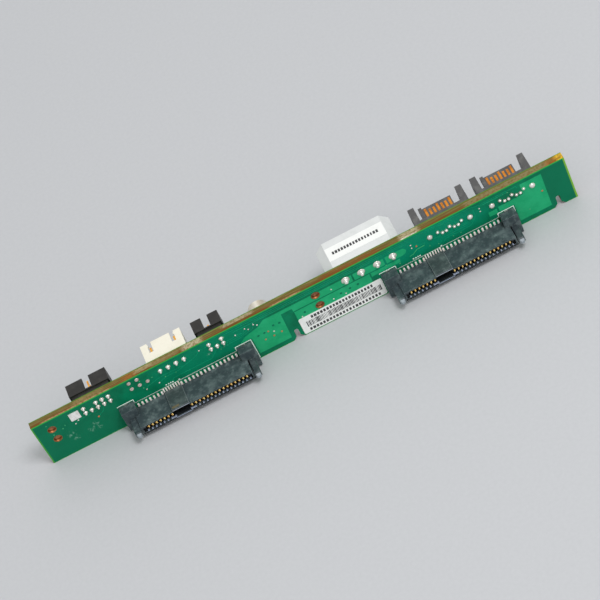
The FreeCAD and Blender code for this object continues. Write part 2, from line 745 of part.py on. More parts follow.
def make_data_headers():
    """Open headers: a base, two guide arms and a keyed tongue with seven contacts.

    The right-hand pieces are linked copies of the left-hand ones.
    """
    place = (DATA_X["left"], BACK, "board_height - data_drop")
    housing = new_body("left_data_header_housing", *place)
    bottom = "-data_base_height / 2"
    base = centred("0", bottom, "data_width", "data_base_height")
    extrude(housing, "Pad", "base", [base], "data_base_depth", reverse=True)
    arms = [rectangle("-data_width / 2", bottom, "data_arm_width", "data_base_height"),
            rectangle("data_width / 2 - data_arm_width", bottom, "data_arm_width", "data_base_height")]
    extrude(housing, "Pad", "arms", arms, "data_depth", reverse=True)
    left = "(-tongue_width / 2 - tongue_shift)"
    tongue = rectangle(left, f"-{TONGUE_FACE}", "tongue_width", "tongue_thickness")
    extrude(housing, "Pad", "tongue", [tongue], "data_depth", reverse=True)
    leg = rectangle(left, f"-{TONGUE_FACE}", "tongue_leg_width", "tongue_thickness + tongue_leg_rise")
    extrude(housing, "Pad", "tongue_leg", [leg], "data_depth", reverse=True)
    for index, inset, tail in data_contacts():
        extrude(housing, "Pocket", f"way_{index + 1}", [contact_profile(inset, tail, "fit_clearance")],
                "data_contact_width + 2 * fit_clearance", plane="YZ_Plane",
                offset=f"{index - 3} * data_pitch", symmetric=True)
    slots = [lock_section(f"{sign} * data_lock_offset", "0", "fit_clearance") for sign in (-1, 1)]
    extrude(housing, "Pocket", "lock_slots", slots, "data_lock_length + fit_clearance")

    contacts = new_body("left_data_header_contacts", *place)
    for index, inset, tail in data_contacts():
        extrude(contacts, "Pad", f"contact_{index + 1}", [contact_profile(inset, tail)],
                "data_contact_width", plane="YZ_Plane", offset=f"{index - 3} * data_pitch",
                symmetric=True)

    locks = new_body("left_data_header_board_locks", *place)
    blades = [lock_section(f"{sign} * data_lock_offset", "0", "0") for sign in (-1, 1)]
    extrude(locks, "Pad", "blades", blades, "board_thickness + data_lock_length",
            offset="board_thickness", reverse=True)
    for piece in (housing, contacts, locks):
        link_copy(piece, DATA_X["right"], BACK, "board_height - data_drop")


# --------------------------------------------------------------------------- four-pin header
def make_four_pin_header():
    """An upright open-topped box with two key slots in its upper wall."""
    place = (FOUR_PIN_X, BACK, "board_height - four_pin_drop")
    housing = new_body("four_pin_header_housing", *place)
    bottom = "four_pin_above - four_pin_height"
    box = centred("0", bottom, "four_pin_width", "four_pin_height")
    extrude(housing, "Pad", "box", [box], "four_pin_depth", reverse=True)
    cavity = centred("0", f"{bottom} + four_pin_wall", "four_pin_width - 2 * four_pin_wall",
                     "four_pin_height - 2 * four_pin_wall")
    extrude(housing, "Pocket", "cavity", [cavity], "four_pin_depth - four_pin_floor",
            offset="-four_pin_depth", reverse=True)
    extrude(housing, "Pocket", "key_slots", [key_slot(-1), key_slot(1)],
            "four_pin_wall + 2 * fit_clearance", plane="XY_Plane", offset="four_pin_above + fit_clearance")
    ways = [square(f"{index - 1.5} * four_pin_pitch", "0", "header_pin_width + 2 * fit_clearance")
            for index in range(FOUR_PINS)]
    extrude(housing, "Pocket", "pin_holes", ways, "four_pin_floor")

    pins = new_body("four_pin_header_pins", *place)
    squares = [square(f"{index - 1.5} * four_pin_pitch", "0", "header_pin_width")
               for index in range(FOUR_PINS)]
    extrude(pins, "Pad", "pins", squares, "board_thickness + four_pin_depth - four_pin_recess",
            offset="board_thickness", reverse=True)


def key_slot(sign):
    """A slot at an end pin, with a snap nub on its outer side near the rim."""
    middle = f"{sign} * (1.5 * four_pin_pitch - key_slot_inset)"
    outer = f"({middle} + {sign} * key_slot_width / 2)"
    inner = f"({middle} - {sign} * key_slot_width / 2)"
    nub = f"({outer} - {sign} * key_nub_rise)"
    rim = "four_pin_depth"
    nub_y = f"({rim} - key_nub_depth)"
    return [(inner, f"{rim} - key_slot_depth"), (outer, f"{rim} - key_slot_depth"),
            (outer, f"{nub_y} - key_nub_length"), (nub, nub_y), (outer, f"{nub_y} + key_nub_length"),
            (outer, rim), (inner, rim)]


# --------------------------------------------------------------------------- box headers
def make_box_header(name, middle, columns, places):
    """A black box on a narrower plinth, keyed by a gap in its upper wall."""
    centre_drop = "(box_row_drop + box_pitch / 2)"
    place = (middle, BACK, f"board_height - {centre_drop}")
    housing = new_body(f"{name}_header_housing", *place)
    width = f"({columns - 1} * box_pitch + 2 * box_end_room)"
    bottom = "-box_height / 2"
    plinth = centred("0", f"{bottom} + box_plinth_inset", f"{width} - 2 * box_plinth_inset",
                     "box_height - 2 * box_plinth_inset")
    extrude(housing, "Pad", "plinth", [plinth], "box_plinth_depth", reverse=True)
    box = centred("0", bottom, width, "box_height")
    extrude(housing, "Pad", "box", [box], "box_depth - box_plinth_depth", offset="-box_plinth_depth",
            reverse=True)
    cavity = centred("0", f"{bottom} + box_wall", f"{width} - 2 * box_wall", "box_height - 2 * box_wall")
    extrude(housing, "Pocket", "cavity", [cavity], "box_depth - box_floor", offset="-box_depth",
            reverse=True)
    key = centred("0", "box_height / 2 - box_wall - fit_clearance", "box_key_width",
                  "box_wall + 2 * fit_clearance")
    extrude(housing, "Pocket", "key_gap", [key], "box_depth - box_floor", offset="-box_depth",
            reverse=True)
    local = [(f"({x}) - ({middle})", f"({z}) - (board_height - {centre_drop})") for x, z in places]
    ways = [square(x, z, "small_pin_width + 2 * fit_clearance") for x, z in local]
    extrude(housing, "Pocket", "pin_holes", ways, "box_floor")

    pins = new_body(f"{name}_header_pins", *place)
    squares = [square(x, z, "small_pin_width") for x, z in local]
    extrude(pins, "Pad", "pins", squares, "board_thickness + box_depth - box_pin_recess",
            offset="board_thickness", reverse=True)


# --------------------------------------------------------------------------- capacitor
def make_capacitor():
    """An upright metal can crimped over a moulded base, with a flat lead at each end."""
    place = (CAPACITOR_X, BACK, "board_height - capacitor_drop")
    base = new_body("capacitor_base", *place)
    half = "capacitor_base_width / 2"
    cut = f"({half} - capacitor_base_chamfer)"
    outline = [(f"-{half}", f"-{half}"), (half, f"-{half}"), (half, cut), (cut, half),
               (f"-{cut}", half), (f"-{half}", cut)]
    extrude(base, "Pad", "plate", [outline], "capacitor_base_depth", reverse=True)
    channel = centred("0", f"-{half} - fit_clearance", "capacitor_lead_width + 2 * fit_clearance",
                      "capacitor_base_width + 2 * fit_clearance")
    extrude(base, "Pocket", "lead_channel", [channel], "capacitor_lead_thickness + fit_clearance")

    can = new_body("capacitor_can", *place)
    radius = "can_diameter / 2"
    start = "capacitor_base_depth"
    top = f"({start} + can_depth)"
    half_outline = [
        ("0", start), (f"{radius} - can_rim / 2", start), (radius, f"{start} + can_rim"),
        (radius, f"{start} + 2 * can_rim"), (f"{radius} - can_waist", f"{start} + 3 * can_rim"),
        (radius, f"{start} + 4 * can_rim"), (radius, f"{top} - can_rim"),
        (f"{radius} - can_rim", top), ("0", top),
    ]
    revolve(can, "can", half_outline)

    leads = new_body("capacitor_leads", *place)
    end = f"({half} + capacitor_lead_reach)"
    strips = [centred("0", f"{end} - capacitor_lead_run", "capacitor_lead_width", "capacitor_lead_run"),
              centred("0", f"-{end}", "capacitor_lead_width", "capacitor_lead_run")]
    extrude(leads, "Pad", "leads", strips, "capacitor_lead_thickness", reverse=True)


# --------------------------------------------------------------------------- solder and labels
def solder_joint(x, z, width, height):
    """An eight-sided fillet that narrows in two steps towards the pin's end."""
    rings = []
    for spread, rise in ((1.0, 0.0), (0.6, 0.3), (0.32, 1.0)):
        radius = spread * width / 2
        rings.append([Vector(x + radius * math.cos(step * math.pi / 4), -rise * height,
                             z + radius * math.sin(step * math.pi / 4)) for step in range(9)])
    faces = [flat_face(rings[0]), flat_face(rings[-1])]
    for low, high in zip(rings, rings[1:]):
        for step in range(8):
            faces.append(flat_face([low[step], low[step + 1], high[step + 1], high[step], low[step]]))
    return Part.makeSolid(Part.makeShell(faces))


def flat_face(corners):
    return Part.Face(Part.makePolygon(corners))


def make_joints(name, places, width, height):
    """Solder fillets on the front face, one over each pin end."""
    joints = doc.addObject("Part::Feature", name)
    joints.Label = name
    joints.Shape = Part.makeCompound([
        solder_joint(value(x), value(z), value(width), value(height)) for x, z in places])
    joints.setExpression("Placement.Base.y", bind(FRONT))
    nodes.append(joints)


def make_tinned_pad():
    """A square solder-coated land near the left end."""
    body = new_body("tinned_pad", y=FRONT)
    land = rectangle(f"{BAYS['left']} - tinned_pad_offset",
                     "board_height - tinned_pad_drop - tinned_pad_side",
                     "tinned_pad_side", "tinned_pad_side")
    extrude(body, "Pad", "land", [land], "tinned_pad_thickness")


def make_front_label():
    """A white label on the front face, up against the right-hand receptacle."""
    body = new_body("front_label", y=FRONT)
    right = f"{BAYS['right']} + receptacle_offset - {EAR_OUTER} - front_label_gap"
    sheet_outline = rectangle(f"{right} - front_label_width", "front_label_bottom",
                              "front_label_width", "front_label_height")
    stock = extrude(body, "Pad", "stock", [sheet_outline], "label_thickness")
    dress_edges(body, "Fillet", "corners", stock, "label_corner", Vector(0, 1, 0))


def make_power_label():
    """A small bare label on the power header's upper wall."""
    body = new_body("power_header_label", POWER_X, BACK, "board_height")
    stock_outline = centred("0", "power_label_rise", "power_label_width", "power_label_height")
    extrude(body, "Pad", "stock", [stock_outline], "label_thickness", plane="XY_Plane")


# --------------------------------------------------------------------------- small back parts
def make_logic_chip():
    """A small eight-lead chip on the back face."""
    place = (f"{BAYS['left']} - logic_offset", BACK, "logic_rise")
    case = new_body("logic_chip_case", *place)
    block = centred("0", "-logic_width / 2", "logic_length", "logic_width")
    extrude(case, "Pad", "block", [block], "logic_depth - logic_lead_thickness",
            offset="-logic_lead_thickness", reverse=True)
    first = f"-{(LOGIC_LEADS - 1) / 2} * logic_pitch"
    start = "logic_width / 2"
    outer = "(logic_width / 2 + logic_lead_reach)"
    bend = "(logic_width / 2 + logic_lead_reach / 2)"
    leads = new_body("logic_chip_leads", *place)
    for name, sign in (("upper", ""), ("lower", "-")):
        profile = [
            ("0", f"{sign}{outer}"), ("0", f"{sign}{bend}"),
            ("logic_lead_rise - logic_lead_thickness", f"{sign}({bend} - logic_lead_thickness)"),
            ("logic_lead_rise - logic_lead_thickness", f"{sign}({start})"),
            ("logic_lead_rise", f"{sign}({start})"), ("logic_lead_rise", f"{sign}{bend}"),
            ("logic_lead_thickness", f"{sign}({bend} + logic_lead_thickness)"),
            ("logic_lead_thickness", f"{sign}{outer}"),
        ]
        lead = extrude(leads, "Pad", f"{name}_lead", [profile], "logic_lead_width", plane="YZ_Plane",
                       offset=first, symmetric=True)
        repeat(leads, f"{name}_leads", [lead], "logic_pitch", LOGIC_LEADS)


def make_chip_row(name, first, count, depth):
    """A row of small two-ended chip parts, end pads up and down."""
    body = new_body(name, y=BACK)
    blocks = [centred(f"{first} + {index} * chip_pitch", "chip_rise", "chip_width", "chip_length")
              for index in range(count)]
    extrude(body, "Pad", "blocks", blocks, depth, reverse=True)


# --------------------------------------------------------------------------- the whole board
make_board()
make_receptacles()
make_power_header()
make_data_headers()
make_four_pin_header()
make_box_header("ten_pin", TEN_PIN_X, 5, TEN_PINS)
make_box_header("six_pin", SIX_PIN_X, 3, SIX_PINS)
make_capacitor()
make_joints("box_header_joints", TEN_PINS + SIX_PINS, "small_joint_width", "small_joint_height")
make_joints("four_pin_joints", FOUR_PIN_ROW, "header_joint_width", "header_joint_height")
make_joints("power_joints", POWER_ROW, "power_joint_width", "power_joint_height")
make_joints("data_contact_joints", DATA_TAILS, "data_joint_width", "data_joint_height")
make_joints("data_lock_joints", DATA_LOCKS, "lock_joint_width", "lock_joint_height")
make_joints("spare_hole_joints", SPARE_HOLES, "spare_joint_width", "spare_joint_height")
make_tinned_pad()
make_front_label()
make_power_label()
make_logic_chip()
make_chip_row("chip_capacitors", f"{BAYS['left']} + chip_capacitor_offset", CHIP_CAPACITORS,
              "chip_capacitor_depth")
make_chip_row("chip_resistors", f"{BAYS['left']} - chip_resistor_offset", CHIP_RESISTORS,
              "chip_resistor_depth")
doc.recompute()

# --------------------------------------------------------------------------- checks and export
for item in doc.Objects:
    if "Invalid" in item.State or "Error" in item.State:
        raise RuntimeError(f"{item.Label} did not compute")

os.makedirs("parts", exist_ok=True)
for node in nodes:
    shape = Part.getShape(node)
    if shape.isNull() or not shape.isValid():
        raise RuntimeError(f"{node.Label} has no valid shape")
    shape.exportStep(f"parts/{node.Label}.step")
    print(f"{node.Label}: {len(shape.Solids)} solids, {shape.Volume:.2f} mm3")
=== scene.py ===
import json
import math
import random

import bmesh
import bpy
from mathutils import Matrix, Vector


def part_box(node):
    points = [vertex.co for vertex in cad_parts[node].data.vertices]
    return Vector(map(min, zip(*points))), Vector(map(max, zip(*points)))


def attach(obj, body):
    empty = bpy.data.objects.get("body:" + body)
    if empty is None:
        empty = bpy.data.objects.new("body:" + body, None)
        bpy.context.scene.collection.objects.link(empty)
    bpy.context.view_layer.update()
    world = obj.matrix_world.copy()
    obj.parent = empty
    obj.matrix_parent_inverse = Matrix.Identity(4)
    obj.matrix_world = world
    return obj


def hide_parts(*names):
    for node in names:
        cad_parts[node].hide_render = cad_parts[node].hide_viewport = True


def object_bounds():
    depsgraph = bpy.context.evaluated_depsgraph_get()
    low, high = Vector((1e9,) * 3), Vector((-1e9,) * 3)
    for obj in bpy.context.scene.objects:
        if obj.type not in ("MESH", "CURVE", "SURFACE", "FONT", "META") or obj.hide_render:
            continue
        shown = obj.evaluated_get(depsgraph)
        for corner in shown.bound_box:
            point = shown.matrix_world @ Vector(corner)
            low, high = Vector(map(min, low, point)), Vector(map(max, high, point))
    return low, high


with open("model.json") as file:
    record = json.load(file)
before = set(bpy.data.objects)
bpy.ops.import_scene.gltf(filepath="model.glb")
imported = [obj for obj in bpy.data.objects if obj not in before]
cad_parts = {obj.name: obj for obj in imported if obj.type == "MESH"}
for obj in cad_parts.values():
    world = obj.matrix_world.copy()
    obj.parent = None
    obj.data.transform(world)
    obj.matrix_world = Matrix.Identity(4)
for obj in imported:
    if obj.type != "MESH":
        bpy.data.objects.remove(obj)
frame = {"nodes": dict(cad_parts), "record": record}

cadLow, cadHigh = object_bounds()
scene = bpy.context.scene
mm = 0.001  # places and sizes are in millimetres, and made metres where a mesh or a socket takes them


# lower and upper corner of a node
def boxOf(name):
    return [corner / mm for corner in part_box(name)]


boardLow, boardHigh = boxOf("circuit_board")
frontFace, backFace = boardLow.y, boardHigh.y
print("frame loaded:", len(frame["nodes"]), "nodes")


# a colour as picked on screen, made linear
def srgb(red, green, blue):
    levels = [level / 255 for level in (red, green, blue)]
    linear = [level / 12.92 if level <= 0.04045 else ((level + 0.055) / 1.055) ** 2.4 for level in levels]
    return (*linear, 1.0)


def isSocket(value):
    return isinstance(value, bpy.types.NodeSocket)


# links each input of a node to a socket, or sets its value
def feed(node, values):
    for key, value in values.items():
        if isSocket(value):
            node.id_data.links.new(value, node.inputs[key])
        else:
            node.inputs[key].default_value = value
    return node


# a new node, in the tree of the sockets that feed it where no tree is named
def addNode(kind, inputs, tree=None, **settings):
    tree = tree or next(value.id_data for value in inputs.values() if isSocket(value))
    node = tree.nodes.new(kind)
    for key, value in settings.items():
        setattr(node, key, value)
    return feed(node, inputs)


# the first output of a new node
def fromNode(kind, inputs, tree=None, **settings):
    return addNode(kind, inputs, tree, **settings).outputs[0]


def maths(operation, *values):
    return fromNode("ShaderNodeMath", dict(enumerate(values)), operation=operation)


def plus(first, second):
    return maths("ADD", first, second)


def times(product, *others):
    for other in others:
        product = maths("MULTIPLY", product, other)
    return product


def vectorMaths(operation, *values):
    return addNode("ShaderNodeVectorMath", dict(enumerate(values)), operation=operation).outputs


def axesOf(vector):
    return addNode("ShaderNodeSeparateXYZ", {0: vector}).outputs


def toMillimetres(point):
    return vectorMaths("MULTIPLY", point, (1 / mm, 1 / mm, 1 / mm))[0]


# colours are sockets, or levels as picked on screen
def mix(factor, *colours):
    first, second = [srgb(*colour) if isinstance(colour, tuple) else colour for colour in colours]
    return addNode("ShaderNodeMix", {0: factor, 6: first, 7: second}, data_type="RGBA").outputs[2]


# map range with smooth ends
def spread(value, low, high, toLow=0.0, toHigh=1.0):
    inputs = {"Value": value, "From Min": low, "From Max": high, "To Min": toLow, "To Max": toHigh}
    return fromNode("ShaderNodeMapRange", inputs, interpolation_type="SMOOTHSTEP")


# 1 between two limits, falling to 0 outside them
def between(value, low, high, outside, inside):
    return times(spread(value, low - outside, low + inside), spread(value, high + outside, high - inside))


def makeNoise(point, scale, detail=3.0, roughness=0.6):
    inputs = {"Vector": point, "Scale": scale, "Detail": detail, "Roughness": roughness}
    return fromNode("ShaderNodeTexNoise", inputs)


def startMaterial(name):
    material = bpy.data.materials.new(name)
    material.use_nodes = True
    nodes = material.node_tree.nodes
    return material, nodes["Principled BSDF"], nodes.new("ShaderNodeTexCoord").outputs["Object"]


# a tree with named inputs; gives the tree, their sockets inside it, and their identifiers
def startGroup(kind, name, inputs, outputs):
    group = bpy.data.node_groups.new(name, kind + "NodeTree")
    ids = {}
    for way, rows in (("INPUT", inputs), ("OUTPUT", outputs)):
        for label, form, *value in rows:
            socket = group.interface.new_socket(label, in_out=way, socket_type="NodeSocket" + form)
            if value:
                socket.default_value = value[0]
            ids[label] = socket.identifier
    return group, group.nodes.new("NodeGroupInput").outputs, ids


def bumpInto(shader, height, strength, distance, **normal):
    inputs = {"Height": height, "Strength": strength, "Distance": distance * mm, **normal}
    feed(shader, {"Normal": fromNode("ShaderNodeBump", inputs)})


# soft blotches from 0 to 1, and a finer grain
def makeMottleGroup():
    inputs = [("Point", "Vector"), ("Size", "Float", 300.0), ("Low", "Float", 0.4), ("High", "Float", 0.7)]
    group, given = startGroup("Shader", "mottle", inputs, [("Mask", "Float"), ("Fine", "Float")])[:2]
    coarse = makeNoise(given["Point"], given["Size"])
    fine = makeNoise(given["Point"], times(given["Size"], 7.3), 2.0, 0.55)
    addNode("NodeGroupOutput", {"Mask": spread(coarse, given["Low"], given["High"]), "Fine": fine})
    return group


edgeLook = {"radius": 0.09, "reach": 2}


# mask of the sharp edges (paler edges: partly wear, partly painted highlight), the normal with those edges
# rounded, and a mask of deep places for painted shade
def makeEdgeGroup(look):
    outputs = [("Mask", "Float"), ("Rounded", "Vector"), ("Cavity", "Float")]
    group, given = startGroup("Shader", "edgeWear", [("Gain", "Float", 3.0)], outputs)[:2]
    rounded = fromNode("ShaderNodeBevel", {"Radius": look["radius"] * mm}, group, samples=4)
    flat = group.nodes.new("ShaderNodeNewGeometry").outputs["Normal"]
    turn = maths("SUBTRACT", 1.0, vectorMaths("DOT_PRODUCT", rounded, flat)["Value"])
    reach = {"Distance": look["reach"] * mm}
    openness = addNode("ShaderNodeAmbientOcclusion", reach, group, samples=6, only_local=True)
    addNode("NodeGroupOutput", {
        "Mask": fromNode("ShaderNodeClamp", {"Value": times(turn, given["Gain"])}),
        "Rounded": rounded, "Cavity": spread(openness.outputs["AO"], 0.62, 0.12)})
    return group


mottleGroup = makeMottleGroup()
edgeGroup = makeEdgeGroup(edgeLook)


def mottle(point, size, low, high):
    inputs = {"Point": point, "Size": size, "Low": low, "High": high}
    return addNode("ShaderNodeGroup", inputs, node_tree=mottleGroup).outputs


# tints soft-edged boxes; a zone is its limits, a colour and a strength
def paintZones(point, colour, zones, soft=0.07):
    axes = dict(zip("xyz", axesOf(toMillimetres(point))))
    for limits, tint, strength in zones:
        inside = [between(axes[axis], low, high, soft, soft) for axis, low, high in limits]
        colour = mix(times(strength, *inside), colour, tint)
    return colour


# moulded plastic: blotches of handling, paler edges (partly wear, partly painted highlight), a fine grain,
# painted shade in the corners
def makePlastic(name, base, blotch, edge, grain, roughness, scuff, edgeGain, specular=0.5, zones=(), cornerShade=0):
    material, shader, point = startMaterial(name)
    soft = mottle(point, 320.0, 0.42, 0.72)
    slanted = {"Vector": point, "Scale": (1.0, 1.0, 0.45), "Rotation": (0.0, 0.35, 0.0)}
    smear = mottle(fromNode("ShaderNodeMapping", slanted), 900.0, 0.5, 0.74)
    handled = plus(times(soft["Mask"], 0.7), times(smear["Mask"], 0.5))
    colour = mix(times(handled, scuff), base, blotch)
    edgeOutputs = addNode("ShaderNodeGroup", {"Gain": edgeGain}, shader.id_data, node_tree=edgeGroup).outputs
    # paler sharp edges: partly wear, partly a painted highlight where the edges catch the light
    wornAndHighlitEdges = times(edgeOutputs["Mask"], spread(smear["Fine"], 0.3, 0.6, 0.5, 1.0))
    colour = mix(wornAndHighlitEdges, colour, edge)
    # painted shade: darkens corners, slots and gaps where the occlusion mask is deep
    if cornerShade:
        colour = mix(times(edgeOutputs["Cavity"], cornerShade), colour, (8, 9, 11))
    feed(shader, {
        "Base Color": paintZones(point, colour, zones), "Specular IOR Level": specular,
        "Roughness": plus(times(soft["Fine"], 0.18), roughness - 0.09)})
    bumpInto(shader, makeNoise(point, grain, 3.0, 0.7), 0.35, 0.03, Normal=edgeOutputs["Rounded"])
    return material


even, upright, across = (1.0, 1.0, 1.0), (1.0, 1.0, 0.35), (1.0, 0.3, 1.0)  # how a finish is streaked


# plated or drawn metal with cloudy tarnish and fine streaks; a tail is tinned where it meets the board
def makeMetal(name, base, tint, roughness, metallic, streak=even, size=700.0, tail=None):
    material, shader, point = startMaterial(name)
    stretched = fromNode("ShaderNodeMapping", {"Vector": point, "Scale": streak})
    cloud = mottle(stretched, size, 0.35, 0.75)
    colour = mix(cloud["Mask"], base, tint)
    if tail:
        depth = axesOf(toMillimetres(point))[1]
        colour = mix(spread(depth, frontFace - 0.5, frontFace - 0.3), colour, tail)
    rough = plus(times(cloud["Fine"], 0.22), roughness - 0.11)
    feed(shader, {"Base Color": colour, "Roughness": rough, "Metallic": metallic})
    bumpInto(shader, cloud["Fine"], 0.5, 0.02)
    return material


maskSpecular = 0.09


# green film, clouded, over the print of a glass weave
def maskColour(point, base, deep):
    cloud = mottle(point, 210.0, 0.35, 0.7)
    wave = {"Vector": point, "Scale": 620.0, "Distortion": 1.5, "Detail": 1.0}
    threads = [addNode("ShaderNodeTexWave", wave, bands_direction=way).outputs["Fac"] for way in "XZ"]
    tone = plus(times(cloud["Mask"], 0.75), times(cloud["Fine"], 0.3))
    height = plus(times(*threads, 0.6), cloud["Fine"])
    return mix(tone, base, deep), height


def makeMask(name, base, deep, weave=1.0):
    material, shader, point = startMaterial(name)
    colour, height = maskColour(point, base, deep)
    feed(shader, {"Base Color": colour, "Roughness": 0.36, "Specular IOR Level": maskSpecular})
    bumpInto(shader, height, 0.25 * weave, 0.02)
    return material


# printed ink and label film
def makePaper(name, base, shade):
    material, shader, point = startMaterial(name)
    fibres = mottle(point, 420.0, 0.4, 0.8)
    feed(shader, {"Base Color": mix(times(fibres["Mask"], 0.6), base, shade),
                  "Roughness": plus(times(fibres["Fine"], 0.2), 0.42)})
    bumpInto(shader, fibres["Fine"], 0.3, 0.01)
    return material


boardLook = {
    "maskDeep": (4, 108, 74), "maskMid": (5, 134, 94), "maskEnd": (8, 116, 82), "residue": (150, 204, 182),
    "laminate": (106, 90, 42), "streak": (138, 123, 76), "lowerBand": (116, 74, 32), "fringe": (82, 142, 44),
    "fringeDepth": 0.38,
    # plain strips past the last copper: where each starts and where it is full
    "ends": [(77.9, 78.2), (-56, -64)],
    # thin film along the cut edges
    "fringes": [
        ((("z", 16.98, 18),), (56, 190, 78), 0.85), ((("z", -1, 0.22),), (64, 170, 66), 0.75),
        ((("x", -87, -85.25),), (90, 176, 58), 0.85), ((("x", 85.1, 87),), (134, 192, 56), 0.9)],
    # x, z, half width, half height, colour, strength; brighter ground under close tracks, then burnt flux
    "facePatches": [
        (41, 12.8, 26, 6.4, (6, 148, 114), 0.65), (-31, 12.6, 24, 6.4, (5, 142, 106), 0.5),
        (62.4, 7, 1.2, 1.5, (44, 44, 22), 0.75)],
    # along low and high, depth low and high, colour, strength
    "edgePatches": [
        (-82, -60, -1.2, -0.75, (206, 168, 130), 0.6), (-55.8, -51.5, -1, 0.9, (176, 104, 42), 0.55),
        (-51.8, -46.3, -0.6, 0.9, (196, 182, 140), 0.5), (-36.5, -30.3, -1.1, 1, (208, 198, 164), 0.7),
        (-72, -62, -0.9, 0.8, (158, 142, 96), 0.5), (-47, -38, -0.9, 0.9, (162, 148, 104), 0.5),
        (-23.6, -13.8, -0.2, 1, (204, 192, 160), 0.5), (-8.5, 1, -1.2, -0.75, (206, 168, 130), 0.6),
        (8, 26, -1.1, 0.7, (134, 78, 32), 0.6), (54, 81, -1.2, 0.6, (146, 136, 96), 0.7),
        (33.4, 39.4, -1.1, 1, (206, 196, 160), 0.62), (33.4, 38.2, -1.2, -0.8, (244, 240, 228), 0.9),
        (80, 84.4, -1.1, 0.9, (176, 104, 34), 0.5), (83.4, 86, -1.3, 1.3, (236, 190, 52), 1)],
    # dried flux: x, z, radius
    "residueSpots": [
        (-76.3, 7.6, 1.9), (-75.6, 5.4, 1.4), (-70.4, 5.9, 1.8), (-68.4, 5.2, 1.2), (-69, 7.2, 1.6),
        (-25, 11.2, 1.2), (-30.5, 11, 1.2), (63.2, 8.9, 0.9)],
}


# an oval on the front face, from 0 at its rim to full strength at a share of its size
def ovalMask(place, x, z, wide, tall, share, strength=1.0):
    offset = vectorMaths("SUBTRACT", place, (x, frontFace, z))[0]
    scaled = vectorMaths("MULTIPLY", offset, (1 / wide, 1.0, 1 / tall))[0]
    return spread(vectorMaths("LENGTH", scaled)["Value"], 1.0, share, 0.0, strength)


def boardFaceColour(point, place, colour, look):
    along = axesOf(place)[0]
    for start, full in look["ends"]:
        colour = mix(times(spread(along, start, full), 0.75), colour, look["maskEnd"])
    for x, z, wide, tall, tint, strength in look["facePatches"]:
        colour = mix(ovalMask(place, x, z, wide, tall, 0.45, strength), colour, tint)
    colour = paintZones(point, colour, look["fringes"], 0.14)
    residue = 0.0
    for x, z, radius in look["residueSpots"]:
        residue = maths("MAXIMUM", residue, ovalMask(place, x, z, radius, radius, 0.1))
    dried = spread(makeNoise(point, 900.0, 4.0, 0.65), 0.48, 0.66)
    return mix(times(residue, dried, 0.7), colour, look["residue"])


# fibres run along the cut, torn and stained in places
def boardEdgeColour(point, place, look):
    along, depth, rise = axesOf(place)
    fibre = fromNode("ShaderNodeMapping", {"Vector": point, "Scale": (0.09, 2.4, 1.0)})
    streaks = makeNoise(fibre, 1500.0, 4.0, 0.6)
    torn = spread(makeNoise(point, 1100.0, 5.0, 0.75), 0.4, 0.56, 0.25, 1.0)
    colour = mix(spread(streaks, 0.42, 0.64), look["laminate"], look["streak"])
    uneven = spread(makeNoise(point, 75.0, 2.0, 0.5), 0.36, 0.6, 0.45, 1.0)
    colour = mix(times(spread(depth, 0.25, -0.9), uneven), colour, look["lowerBand"])
    onTop = times(torn, spread(rise, boardHigh.z - 2.5, boardHigh.z - 0.5))
    for low, high, front, back, tint, strength in look["edgePatches"]:
        inside = between(along, low, high, 1.0, 1.0)
        band = between(depth, front, back, 0.15, 0.1)
        colour = mix(times(inside, band, onTop, strength), colour, tint)
    fringe = spread(depth, backFace - look["fringeDepth"], backFace - 0.3 * look["fringeDepth"])
    return mix(times(fringe, 0.85), colour, look["fringe"]), plus(streaks, torn)


# green mask on both faces; cut laminate, in layers, on every edge
def makeBoardMaterial(look):
    material, shader, point = startMaterial("boardLaminate")
    place = toMillimetres(point)
    isFace = maths("GREATER_THAN", maths("ABSOLUTE", axesOf(point.node.outputs["Normal"])[1]), 0.7)
    faceColour, faceHeight = maskColour(point, look["maskMid"], look["maskDeep"])
    faceColour = boardFaceColour(point, place, faceColour, look)
    edgeColour, edgeHeight = boardEdgeColour(point, place, look)
    feed(shader, {
        "Base Color": mix(isFace, edgeColour, faceColour), "Specular IOR Level": maskSpecular,
        "Roughness": plus(times(isFace, -0.36), 0.74)})
    height = fromNode("ShaderNodeMix", {0: isFace, 2: edgeHeight, 3: faceHeight}, data_type="FLOAT")
    bumpInto(shader, height, 0.35, 0.035)
    return material


slot = (("y", -9.05, -3), ("z", 2.3, 4.84))  # depth and height of the receptacle's mouth
arm = (("y", -10.1, -4.3), ("z", 2, 4.9))
# painted highlight on the tips of the guide arms; painted shade on the lip of the mouth and in the slot;
# darker right arms
receptacleZones = [
    # painted highlight on the arm tips
    ((("y", -11, -10.1),), (170, 180, 188), 0.75),
    ((("y", -9.3, -8.9), ("z", 1.8, 2.5)), (14, 16, 22), 0.85),
    ((("x", -57.2, -21.9), *slot), (10, 12, 16), 0.88), ((("x", 27.8, 63.1), *slot), (10, 12, 16), 0.88),
    ((("x", -21.6, -19.1), *arm), (40, 46, 50), 0.45), ((("x", 63.4, 65.9), *arm), (40, 46, 50), 0.45),
]
# painted edge highlight on the lip and sides of the raised blocks, and a stain on one
blockZones = [
    ((("y", -9.3, -9), ("z", 5, 5.5)), (176, 186, 200), 0.75),
    *[((("x", low, low + 0.88),), (160, 170, 174), 0.3) for low in (-48, -41.88, 37, 43.12)],
    ((("x", -46.9, -44.6), ("y", -8.8, -8)), (138, 118, 74), 0.5),
]
